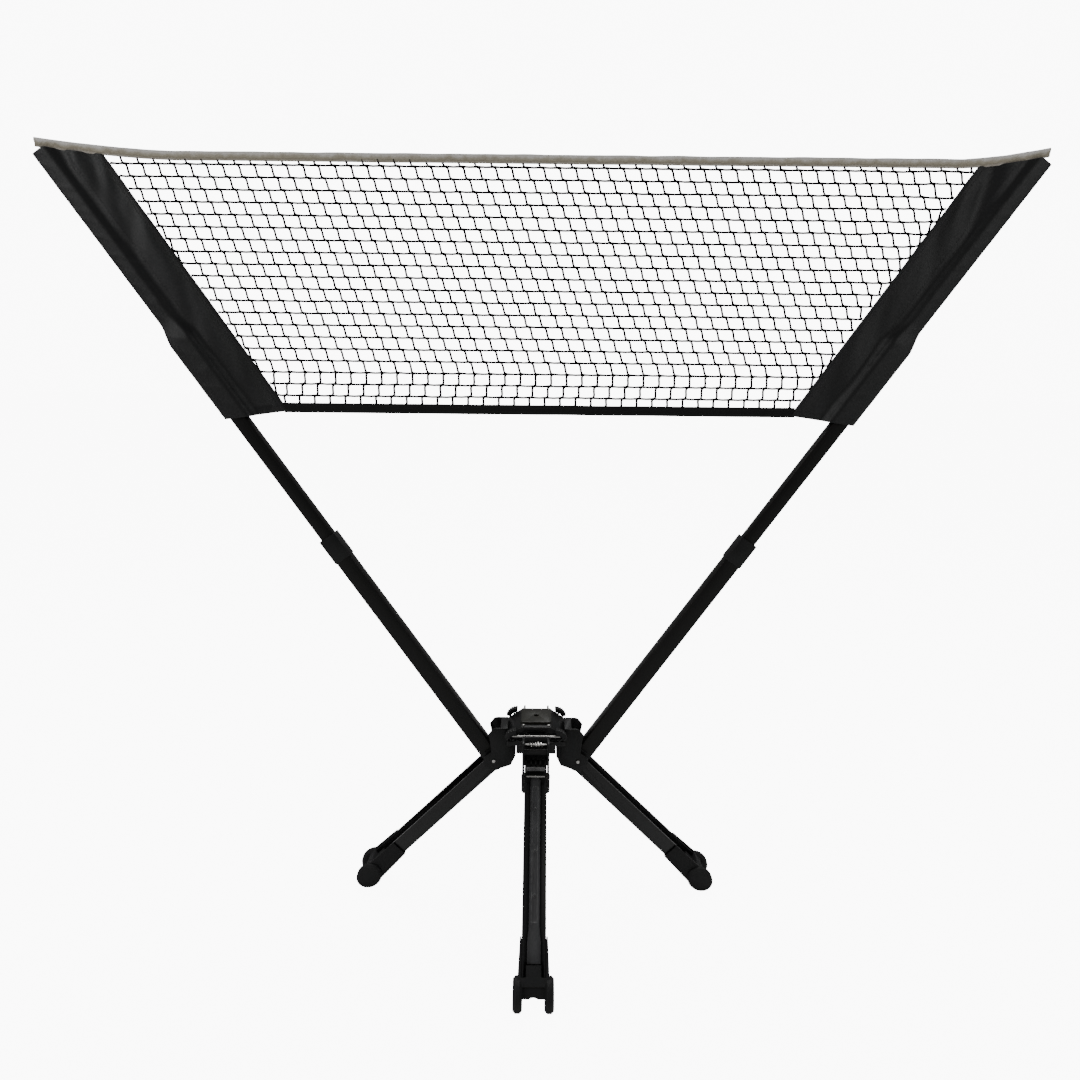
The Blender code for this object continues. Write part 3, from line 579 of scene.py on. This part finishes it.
# %% Sweep a tube along a path
def swept_tube(points, radii, sides=6):
    bm = bmesh.new()
    bmesh.ops.create_circle(bm, segments=sides, radius=1.0)
    rim = list(bm.edges)
    ring = list(bm.verts)
    last = Matrix.Identity(4)
    for i, (point, radius) in enumerate(zip(points, radii)):
        heading = points[min(i + 1, len(points) - 1)] - points[max(i - 1, 0)]
        turn = heading.to_track_quat("Z", "Y").to_matrix().to_4x4()
        here = Matrix.Translation(point) @ turn @ Matrix.Scale(radius, 4)
        if i:
            made = bmesh.ops.extrude_edge_only(bm, edges=rim)["geom"]
            ring = [item for item in made if isinstance(item, bmesh.types.BMVert)]
            rim = [item for item in made if isinstance(item, bmesh.types.BMEdge)
                   and item.verts[0] in ring and item.verts[1] in ring]
        bmesh.ops.transform(bm, matrix=here @ last.inverted(), verts=ring)
        last = here
    bmesh.ops.holes_fill(bm, edges=bm.edges)
    bmesh.ops.recalc_face_normals(bm, faces=bm.faces)
    return bm


def as_mesh(bm, name):
    mesh = bpy.data.meshes.new(name)
    bm.to_mesh(mesh)
    bm.free()
    return mesh


def place_copy(target, pattern, matrix):
    """Add a copy of a small mesh to a bmesh, moved by a matrix."""
    copy = pattern.copy()
    copy.transform(matrix)
    target.from_mesh(copy)
    bpy.data.meshes.remove(copy)


# %% One link and one stretch of row cord
CELL = 0.0174
ROW_PITCH = 0.0131
LEAN = 0.0070
CORD_RADIUS = 0.00124


def bezier(share, handles):
    """A point on a cubic curve."""
    first, second, third, fourth = handles
    rest = 1.0 - share
    return (first * rest ** 3 + second * 3 * rest * rest * share
            + third * 3 * rest * share * share + fourth * share ** 3)


link_handles = [Vector((0.0, 0.0, 0.0)), Vector((0.0048, 0.0, -0.0009)),
                Vector((0.0022, 0.0, -0.0122)), Vector((LEAN, 0.0, -ROW_PITCH))]
link_path = [bezier(i / 6, link_handles) for i in range(7)]
link_radii = [CORD_RADIUS * (1.12 if i in (0, 6) else 1.0) for i in range(7)]
LINK = as_mesh(swept_tube(link_path, link_radii), "link")
mirrored_bm = bmesh.new()
mirrored_bm.from_mesh(LINK)
bmesh.ops.scale(mirrored_bm, vec=(-1.0, 1.0, 1.0), verts=mirrored_bm.verts)
bmesh.ops.reverse_faces(mirrored_bm, faces=mirrored_bm.faces)
LINK_BACK = as_mesh(mirrored_bm, "link_back")
row_path = [Vector((CELL * i / 4, 0.0, 0.00022 * math.cos(2 * math.pi * i / 4))) for i in range(5)]
row_radii = [CORD_RADIUS * k for k in (1.15, 0.95, 0.92, 0.98, 1.15)]
ROW_CORD = as_mesh(swept_tube(row_path, row_radii), "row_cord")
print("faces in a link", len(LINK.polygons), "in a row cord", len(ROW_CORD.polygons))

# %% [markdown]
# The rows sit one pitch apart below the tape. Hand-stretched net is never even, so a smooth
# noise moves every crossing a fraction of a millimetre, and the last rows before the bottom
# band lean back the other way, pulled by the band's stitches.

# %% Where each crossing lies
ROWS = 20
LEANING_ROWS = ROWS - 3
LEAN_BACK = 0.0035
FIRST_ROW = TAPE_LEVEL - 0.0077
LINKS_INTO_TAPE, LINKS_INTO_BAND = 0.0030, 0.0012
PULL_AT, PULL_REACH, PULL_SIZE = 0.43, 0.10, 0.0022
UNEVEN_X, UNEVEN_Z, UNEVEN_DEPTH = 0.0006, 0.0005, 0.0006


def net_half(z):
    """Half the net's width at a height, between the sleeves' inner edges."""
    share = (z - band_high.z) / (net_high.z - band_high.z)
    return band_high.x + share * (net_high.x - band_high.x) + 0.0006


def row_start(row):
    """How far a row's crossings have shifted to the right."""
    return LEAN * min(row, LEANING_ROWS) - LEAN_BACK * max(0, row - LEANING_ROWS)


def crossing(row, column):
    """Where a link meets a row cord, and whether that lies past the net's side."""
    x = column * CELL + row_start(row)
    z = FIRST_ROW - row * ROW_PITCH
    if row < 0:
        z = TAPE_LEVEL + LINKS_INTO_TAPE
    if row >= ROWS:
        z = band_high.z - LINKS_INTO_BAND
    pull = math.exp(-((PULL_AT - x) / PULL_REACH) ** 2)
    x += UNEVEN_X * noise.noise(Vector((row * 1.7, column * 0.9, 3.0)))
    z += UNEVEN_Z * noise.noise(Vector((x * 40.0, row * 2.3, 7.0)))
    z += PULL_SIZE * pull * noise.noise(Vector((x * 22.0, row * 0.8, 11.0)))
    half = net_half(min(max(z, band_high.z), net_high.z))
    depth = UNEVEN_DEPTH * noise.noise(Vector((x * 9.0, row * 0.5, 5.0)))
    return Vector((min(max(x, -half), half), depth, z)), abs(x) > half


# %% Lay the net
def add_link(target, start, end):
    delta = end - start
    pattern = LINK if delta.x >= 0 else LINK_BACK
    natural = LEAN if delta.x >= 0 else -LEAN
    lay = Matrix.Identity(4)
    lay[2][2] = -delta.z / ROW_PITCH
    lay[0][2] = (natural - delta.x) / ROW_PITCH
    lay[1][2] = -delta.y / ROW_PITCH
    place_copy(target, pattern, Matrix.Translation(start) @ lay)


def add_row_cord(target, start, end):
    delta = end - start
    lay = Matrix.Identity(4)
    lay[0][0] = delta.x / CELL
    lay[1][0] = delta.y / CELL
    lay[2][0] = delta.z / CELL
    place_copy(target, ROW_CORD, Matrix.Translation(start) @ lay)


def lay_net():
    bm = bmesh.new()
    widest = int(net_half(TAPE_LEVEL) / CELL) + 12
    for row in range(-1, ROWS + 1):
        points = [crossing(row, column) for column in range(-widest, widest)]
        if 0 <= row < ROWS:
            for (start, start_out), (end, end_out) in zip(points, points[1:]):
                if not (start_out and end_out) and end.x - start.x > 0.0004:
                    add_row_cord(bm, start, end)
        if row < ROWS:
            below = [crossing(row + 1, column) for column in range(-widest, widest)]
            for (start, start_out), (end, end_out) in zip(points, below):
                if not (start_out and end_out):
                    add_link(bm, start, end)
    return bm


net_bm = lay_net()
print("net faces", len(net_bm.faces))
net_piece = finish_piece("net_knotless", net_bm, NET_CORD, "net", ("net_mesh",), 60.0,
                         outward=False)

# %% [markdown]
# ## Sheets made from a mapped grid
#
# The tape, the band and the sleeves are all cloth wrapped round something. A flat grid is the
# honest start: one direction goes round the piece and the other along it. A placing function
# moves every grid point onto the surface, and the flat grid gives the UV map in metres.


# %% A grid that becomes wrapped cloth
def wrapped_cloth(around, along, size, place):
    bm = bmesh.new()
    bmesh.ops.create_grid(bm, x_segments=around, y_segments=along, size=0.5)
    layer = bm.loops.layers.uv.new("UVMap")
    share = {vert: (vert.co.x + 0.5, vert.co.y + 0.5) for vert in bm.verts}
    for face in bm.faces:
        for loop in face.loops:
            a, b = share[loop.vert]
            loop[layer].uv = (a * size[0], b * size[1])
    for vert, (a, b) in share.items():
        vert.co = place(a, b)
    bmesh.ops.remove_doubles(bm, verts=bm.verts, dist=0.00001)
    return bm


def smooth_step(value):
    value = min(max(value, 0.0), 1.0)
    return value * value * (3.0 - 2.0 * value)


def blend_between(first, second, share):
    return first + (second - first) * share


# %% [markdown]
# ## Top tape and bottom band
#
# The tape is a strip folded over the net's head cord: thick and rounded on top, pinched to two
# layers below. It climbs near both ends, where the sleeves' tips hold it up. The climb is read
# from the frame's own tape. The band below is a flat black webbing folded over the last row.

# %% The tape's climb, read from the frame
def tape_floor_points():
    lows = {}
    for vert in frame["nodes"]["top_tape"].data.vertices:
        key = round(vert.co.x, 4)
        lows[key] = min(lows.get(key, 9.0), vert.co.z)
    return sorted(lows.items())


TAPE_FLOOR = tape_floor_points()


def tape_floor(x):
    """The height of the tape's lower edge."""
    for (left, low), (right, high) in zip(TAPE_FLOOR, TAPE_FLOOR[1:]):
        if left <= x <= right:
            return blend_between(low, high, (x - left) / max(right - left, 1e-9))
    return TAPE_FLOOR[0][1] if x < 0 else TAPE_FLOOR[-1][1]


print("tape level", round(tape_floor(0.0), 4), "at its end", round(tape_floor(TAPE_HALF), 4))


# %% Top tape
TAPE_TALL = 0.0100
TAPE_LIP, TAPE_ROLL = 0.0013, 0.0027


def fold_profile(a, height, lip, roll):
    """(depth, height) on a folded strip: a rounded roll above a pinched double layer."""
    rise = 0.5 - 0.5 * math.cos(2 * math.pi * a)
    half = blend_between(lip, roll, smooth_step((rise - 0.30) / 0.45))
    half *= max(0.0, 1.0 - abs(2 * rise - 1) ** 7) ** 0.5
    return (-half if a < 0.5 else half), rise * height


def tape_point(a, b):
    x = blend_between(-TAPE_HALF, TAPE_HALF, b)
    ripple = noise.noise(Vector((x * 14.0, 2.0, 0.0)))
    height = TAPE_TALL + 0.0006 * noise.noise(Vector((x * 30.0, 8.0, 0.0)))
    depth, rise = fold_profile(a, height, TAPE_LIP, TAPE_ROLL + 0.0003 * ripple)
    lean = 0.0004 * noise.noise(Vector((x * 9.0, 5.0, 0.0)))
    return Vector((x, depth + lean, tape_floor(x) + rise + 0.0003 * ripple))


tape_bm = wrapped_cloth(20, 260, (0.024, 2 * TAPE_HALF), tape_point)
bmesh.ops.holes_fill(tape_bm, edges=[edge for edge in tape_bm.edges if edge.is_boundary])
height_layer = tape_bm.loops.layers.float_color.new("tape_height")
for face in tape_bm.faces:
    for loop in face.loops:
        level = (loop.vert.co.z - tape_floor(loop.vert.co.x)) / TAPE_TALL
        loop[height_layer] = (level, level, level, 1.0)
tape_piece = finish_piece("tape_folded", tape_bm, TAPE_CLOTH, "net", ("top_tape",), 60.0)
print("tape faces", len(tape_piece.data.polygons))

# %% Bottom band
BAND_HALF = band_high.x
BAND_TALL = band_high.z - band_low.z
BAND_HALF_THICK = 0.0015


def band_point(a, b):
    x = blend_between(-BAND_HALF, BAND_HALF, b)
    depth, rise = fold_profile(1.0 - a if a < 0.5 else a, BAND_TALL, BAND_HALF_THICK, BAND_HALF_THICK)
    depth = -abs(depth) if a < 0.5 else abs(depth)
    sag = 0.0003 * noise.noise(Vector((x * 20.0, 1.0, 0.0)))
    pucker = 1.0 + 0.12 * noise.noise(Vector((x * 110.0, 4.0, 0.0)))
    return Vector((x, depth * pucker, band_low.z + rise + sag))


band_bm = wrapped_cloth(16, 220, (0.025, 2 * BAND_HALF), band_point)
bmesh.ops.holes_fill(band_bm, edges=[edge for edge in band_bm.edges if edge.is_boundary])
band_piece = finish_piece("band_folded", band_bm, BAND_CLOTH, "net", ("bottom_band",), 60.0)
print("band faces", len(band_piece.data.polygons))

# %% [markdown]
# ## Side sleeves
#
# Each sleeve is one doubled piece of nylon: a pocket round the two outer tubes and a flat panel
# that reaches the net. Seen from its end it is a long teardrop. It could be built from a tube
# and a plate, but then the pocket would look bolted on. Here a single grid is wrapped round the
# teardrop, and its thickness falls smoothly from the pocket to the panel.

# %% The sleeve's outline along the arm
TUBE_MIDDLE = -0.0027
WIDE_HALF, NARROW_HALF = 0.0133, 0.0081
WIDE_DEPTH, NARROW_DEPTH = 0.0098, 0.0062
PANEL_HALF = 0.0014
NARROWS_AT, NARROWS_OVER = 0.606, 0.030
HEM_ALONG, HEM_ACROSS, HEM_SLANT = 0.5107, 0.0169, 0.5094
TUCK = 0.0012
TIP_ALONG = 0.8530
SLOPE_WIDTH = 0.0085
HEM_ROLL, HEM_INSET, HEM_WIDTH = 0.00035, 0.0035, 0.0022


def narrowing(along):
    """0 over the middle tube's collar, 1 over the outer tube."""
    return smooth_step((along - NARROWS_AT) / NARROWS_OVER)


def outer_edge(along):
    return TUBE_MIDDLE - blend_between(WIDE_HALF, NARROW_HALF, narrowing(along))


def inner_edge(side, along):
    """The panel's edge beside the net, as far across the arm as the net begins."""
    low = arm_coordinates(side, (SIDE_SIGN[side] * net_half(band_high.z), 0.0, band_high.z))
    high = arm_coordinates(side, (SIDE_SIGN[side] * net_half(net_high.z), 0.0, net_high.z))
    straight = blend_between(low[1], high[1], (along - low[0]) / (high[0] - low[0]))
    wave = noise.noise(Vector((along * 26.0, 3.0 * SIDE_SIGN[side], 1.0)))
    return straight - 0.0007 + 0.0006 * wave * smooth_step((along - 0.55) / 0.2)


def bottom_at(across):
    """The sleeve's lower hem, nearly level in space, so it slants across the arm."""
    return HEM_ALONG - HEM_SLANT * (across + HEM_ACROSS)


def top_at(side, across):
    """Where the sleeve tucks under the tape's lower edge, or its own tip at the outer corner."""
    along = 0.84
    for _ in range(4):
        x = on_arm(side, along, across).x
        along += (tape_floor(x) + TUCK - on_arm(side, along, across).z) / ALONG[side].z
    return min(along, TIP_ALONG)


print("right sleeve runs", round(bottom_at(0.0), 3), "to", round(top_at("right", 0.0), 3), "along its arm")

# %% [markdown]
# The thickness has three parts. Round the tube it is a rounded box that clears the tube and its
# collar, beside the tube it slopes down to the panel, and at the panel's edge it closes in a
# rolled hem. Long diagonal folds run from the tip toward the net, as tension pulls them, and
# they move both layers the same way.


# %% Thickness and folds
BROAD_FOLD, FINE_FOLD, CREASE = 0.0034, 0.0009, 0.00045


def cloth_half(side, along, across):
    share = narrowing(along)
    half = blend_between(WIDE_HALF, NARROW_HALF, share)
    depth = blend_between(WIDE_DEPTH, NARROW_DEPTH, share)
    away = (TUBE_MIDDLE - across) / half
    if away > 0:
        return depth * max(0.0, 1.0 - away ** 6) ** 0.25
    slope = smooth_step((across - TUBE_MIDDLE - 0.90 * half) / SLOPE_WIDTH)
    thick = blend_between(depth, PANEL_HALF, slope)
    from_edge = inner_edge(side, along) - across
    hem = HEM_ROLL * math.exp(-((from_edge - HEM_INSET) / HEM_WIDTH) ** 2)
    closing = max(0.0, 1.0 - (1.0 - min(from_edge / HEM_WIDTH, 1.0)) ** 2) ** 0.5
    return (thick + hem) * max(closing, 0.02)


def fold_shift(side, along, across):
    """How far a fold moves the panel's two layers together; it fades out before the pocket."""
    sign = SIDE_SIGN[side]
    panel = smooth_step((across - 0.010) / 0.010) * smooth_step((inner_edge(side, along) - across) / 0.012)
    slanted = Vector((along * 17.0 - across * 34.0, across * 20.0 + along * 4.0, 2.0 * sign))
    broad = noise.noise(slanted)
    fine = noise.noise(slanted * 2.7)
    gather = 0.6 + 0.9 * smooth_step((along - 0.68) / 0.12)
    return panel * gather * (BROAD_FOLD * broad + FINE_FOLD * fine)


def pocket_crease(side, along, across):
    sharp = noise.noise(Vector((along * 46.0 + across * 60.0, across * 30.0, 9.0 * SIDE_SIGN[side])))
    crease = max(0.0, 1.0 - abs(sharp) * 5.0)
    return CREASE * crease * smooth_step((0.020 - across) / 0.010)


def sleeve_point(side, a, b):
    """a goes from the inner edge round the front, the tube and the back; b from hem to tip."""
    turn = 2 * a if a <= 0.5 else 2 * (1.0 - a)
    share = 0.5 - 0.5 * math.cos(math.pi * turn)
    along = 0.66
    for _ in range(3):
        across = blend_between(inner_edge(side, along), outer_edge(along), share)
        along = blend_between(bottom_at(across), top_at(side, across), b)
    half = cloth_half(side, along, across) if turn > 0.0005 else 0.0
    if 0.02 < turn < 0.98:
        half += pocket_crease(side, along, across) * min(1.0, half / 0.004)
    face = -1.0 if a <= 0.5 else 1.0
    return on_arm(side, along, across, face * half + fold_shift(side, along, across))


# %% Make both sleeves
MOUTH_FOLD = ((0.0006, 0.90), (0.0100, 0.86))   # each step inward: distance, and thickness kept


def make_sleeve(side):
    bm = wrapped_cloth(56, 150, (0.160, 0.340), lambda a, b: sleeve_point(side, a, b))
    tip = [edge for edge in bm.edges if edge.is_boundary
           and arm_coordinates(side, edge.verts[0].co)[0] > 0.7]
    bmesh.ops.holes_fill(bm, edges=tip)
    mouth = [edge for edge in bm.edges if edge.is_boundary]
    for lift, squeeze in MOUTH_FOLD:
        made = bmesh.ops.extrude_edge_only(bm, edges=mouth)["geom"]
        ring = [item for item in made if isinstance(item, bmesh.types.BMVert)]
        mouth = [item for item in made if isinstance(item, bmesh.types.BMEdge)
                 and item.verts[0] in ring and item.verts[1] in ring]
        bmesh.ops.scale(bm, vec=(1.0, squeeze, 1.0), verts=ring)
        bmesh.ops.translate(bm, vec=ALONG[side] * lift, verts=ring)
    piece = finish_piece(f"sleeve_cloth_{side}", bm, SLEEVE_CLOTH, f"{side}_arm",
                         (f"sleeve_{side}",), 70.0)
    print(piece.name, "faces", len(piece.data.polygons))
    return piece


sleeves = {side: make_sleeve(side) for side in ("right", "left")}

# %% [markdown]
# ## Stitches
#
# A machine stitch is a short bead of thread pulled into the cloth at both ends. One small
# spindle is modelled, and copies of it follow lines on the cloth: two rows beside the sleeve's
# inner edge, one beside the pocket, one along the hem, and rows on the tape and the band.

# %% One stitch, and a row of them
STITCH_LENGTH = 0.0026
STITCH_PITCH = 0.0036
STITCH_RADIUS, STITCH_END_RADIUS = 0.00028, 0.00008
STITCH_LIFT = 0.0001
stitch_path = [Vector((STITCH_LENGTH * (k - 0.5), 0.0, 0.0)) for k in (0.0, 0.25, 0.75, 1.0)]
stitch_radii = [STITCH_END_RADIUS, STITCH_RADIUS, STITCH_RADIUS, STITCH_END_RADIUS]
STITCH = as_mesh(swept_tube(stitch_path, stitch_radii, sides=5), "stitch")
print("faces in a stitch", len(STITCH.polygons))


def add_stitches(target, line, length, lift):
    """Stitches along line(t), t from 0 to 1, raised off the cloth along depth by lift."""
    count = max(2, int(length / STITCH_PITCH))
    for i in range(count):
        middle = (i + 0.5) / count
        here, ahead = line(middle), line(middle + 0.4 / count)
        turn = (ahead - here).to_track_quat("X", "Z").to_matrix().to_4x4()
        place_copy(target, STITCH, Matrix.Translation(here + Vector((0.0, lift, 0.0))) @ turn)


# %% Stitch rows on the sleeves
def turn_for(side, along, across):
    """The round-the-cloth share that reaches a place across the arm."""
    low, high = inner_edge(side, along), outer_edge(along)
    share = min(max((across - low) / (high - low), 0.0), 1.0)
    return math.acos(1.0 - 2.0 * share) / math.pi


SEAM_INSETS = (0.0030, 0.0062, 0.0315)
SEAM_LENGTH, HEM_LENGTH = 0.325, 0.066


def stitch_sleeve(side):
    bm = bmesh.new()
    for face_sign in (-1, 1):
        for inset in SEAM_INSETS:
            def seam(t, inset=inset, face_sign=face_sign):
                along = blend_between(0.52, 0.80, t)
                turn = turn_for(side, along, inner_edge(side, along) - inset)
                a = 0.5 * turn if face_sign < 0 else 1.0 - 0.5 * turn
                return sleeve_point(side, a, blend_between(0.015, 0.985, t))
            add_stitches(bm, seam, SEAM_LENGTH, face_sign * STITCH_LIFT)

        def hem(t, face_sign=face_sign):
            turn = blend_between(0.05, 0.97, t)
            a = 0.5 * turn if face_sign < 0 else 1.0 - 0.5 * turn
            return sleeve_point(side, a, 0.022)
        add_stitches(bm, hem, HEM_LENGTH, face_sign * STITCH_LIFT)
    return finish_piece(f"sleeve_stitches_{side}", bm, THREAD, f"{side}_arm", (), 60.0,
                        outward=False)


sleeve_stitches = {side: stitch_sleeve(side) for side in ("right", "left")}
print("sleeves stitched")


# %% Stitch rows on the tape and the band
def straight_seam(surface, height_share, start, end, face_sign):
    def line(t):
        a = math.acos(1.0 - 2.0 * height_share) / (2 * math.pi)
        return surface(a if face_sign < 0 else 1.0 - a, blend_between(start, end, t))
    return line


def stitch_strip(name, surface, length, rows, slot):
    bm = bmesh.new()
    for height_share in rows:
        for face_sign in (-1, 1):
            add_stitches(bm, straight_seam(surface, height_share, 0.004, 0.996, face_sign), length,
                         face_sign * STITCH_LIFT)
    material = TAPE_THREAD if slot == "tape_cloth" else THREAD
    return finish_piece(name, bm, material, "net", (), 60.0, outward=False)


tape_stitches = stitch_strip("tape_stitches", tape_point, 2 * TAPE_HALF, (0.24,), "tape_cloth")
band_stitches = stitch_strip("band_stitches", band_point, 2 * BAND_HALF, (0.28, 0.74), "sleeve_cloth")
print("strips stitched")

# %% [markdown]
# ## How the net closes
#
# The arms swing together when the net is put away. The net's body rises with their tips, and its cloth has to
# gather between them. Here only the share of each net piece's width that is left between the arms at the arm
# joint's limit is worked out and printed, and each piece is given its own copy of its mesh.


# %% Shares of width left between the closed arms
def share_left(point_out):
    """How much of a half width is left when the arms are fully closed."""
    closing = math.radians(joints["right_arm_fold"]["range_deg"][1])
    offset = Vector((point_out[0], 0.0, point_out[1])) - PIVOT["right"]
    turned_x = offset.x * math.cos(closing) - offset.z * math.sin(closing)
    return (PIVOT["right"].x + turned_x) / point_out[0]


low_share = share_left((band_high.x, band_high.z))
high_share = share_left((net_high.x, net_high.z))
tip_share = share_left((TAPE_HALF, tape_high.z))
net_share = 0.5 * (low_share + high_share)
print("shares left: band", round(low_share, 3), "net", round(net_share, 3), "tape ends", round(tip_share, 3))
for piece, keep in ((net_piece, net_share), (tape_piece, tip_share), (tape_stitches, tip_share),
                    (band_piece, low_share), (band_stitches, low_share)):
    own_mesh(piece)

# %% [markdown]
# ## Floor, light and camera
#
# A black object on white needs broad light. One large soft light above and behind draws pale
# lines along the legs' rims, two more fill the front, and the pale floor bounces light from
# below. The room and the floor look brighter to the camera than they are as lights, so the
# background stays white while the object stays black. The camera stands a metre away, above the
# hub, and looks slightly down.

# %% Floor
FLOOR_HALF, FLOOR_DROP, FLOOR_GLOW = 8.0, 0.0005, 9.6
floor_bm = bmesh.new()
bmesh.ops.create_grid(floor_bm, x_segments=2, y_segments=2, size=FLOOR_HALF)
bmesh.ops.translate(floor_bm, vec=(0.0, 0.0, -FLOOR_DROP), verts=floor_bm.verts)
floor_mesh = as_mesh(floor_bm, "floor")
floor = bpy.data.objects.new("floor", floor_mesh)
bpy.context.scene.collection.objects.link(floor)
floor_paint = bpy.data.materials.new("pale_floor")
floor_paint.use_nodes = True
floor_shader = floor_paint.node_tree.nodes["Principled BSDF"]
floor_shader.inputs["Base Color"].default_value = (0.90, 0.90, 0.90, 1.0)
floor_shader.inputs["Roughness"].default_value = 0.85
floor_shader.inputs["Emission Color"].default_value = (1.0, 1.0, 1.0, 1.0)
floor_ray = add_node(floor_paint.node_tree, "ShaderNodeLightPath")
floor_glow = math_node(floor_paint.node_tree, "MULTIPLY", floor_ray.outputs["Is Camera Ray"], FLOOR_GLOW)
floor_paint.node_tree.links.new(floor_glow, floor_shader.inputs["Emission Strength"])
floor_mesh.materials.append(floor_paint)


# %% Lights
ROOM_LIGHT, ROOM_SEEN = 0.18, 10.0


def soft_light(name, position, target, size, power):
    data = bpy.data.lights.new(name, "AREA")
    data.shape = "DISK"
    data.size = size
    data.energy = power
    lamp = bpy.data.objects.new(name, data)
    bpy.context.scene.collection.objects.link(lamp)
    aim = (Vector(target) - Vector(position)).to_track_quat("-Z", "Y").to_matrix().to_4x4()
    lamp.matrix_world = Matrix.Translation(position) @ aim


soft_light("light_above", (0.15, 0.9, 2.3), (0.0, 0.0, 0.25), 1.5, 30.0)
soft_light("light_left", (-1.7, -1.5, 1.6), (0.0, 0.0, 0.4), 1.4, 12.0)
soft_light("light_right", (1.7, -1.6, 1.3), (0.0, 0.0, 0.4), 1.4, 6.0)
world = bpy.data.worlds.new("pale_room")
world.use_nodes = True
world.node_tree.nodes["Background"].inputs["Color"].default_value = (1.0, 1.0, 1.0, 1.0)
room_ray = add_node(world.node_tree, "ShaderNodeLightPath")
room_strength = ranged(world.node_tree, room_ray.outputs["Is Camera Ray"], ROOM_LIGHT, ROOM_SEEN)
world.node_tree.links.new(room_strength, world.node_tree.nodes["Background"].inputs["Strength"])
bpy.context.scene.world = world

# %% Camera
CAMERA_PLACE = (0.0, -0.959, 0.680)
CAMERA_PITCH, CAMERA_ROLL = math.radians(80.0), math.radians(0.6)
CAMERA_LENS, CAMERA_SENSOR = 28.13, 36.0
CAMERA_SHIFT = (0.0012, -0.0556)
camera_data = bpy.data.cameras.new("camera")
camera_data.sensor_width = CAMERA_SENSOR
camera_data.lens = CAMERA_LENS
camera_data.shift_x, camera_data.shift_y = CAMERA_SHIFT
camera = bpy.data.objects.new("camera", camera_data)
bpy.context.scene.collection.objects.link(camera)
looking_down = Matrix.Rotation(CAMERA_PITCH, 4, "X")
slight_roll = Matrix.Rotation(CAMERA_ROLL, 4, "Z")
camera.matrix_world = Matrix.Translation(CAMERA_PLACE) @ looking_down @ slight_roll
bpy.context.scene.camera = camera
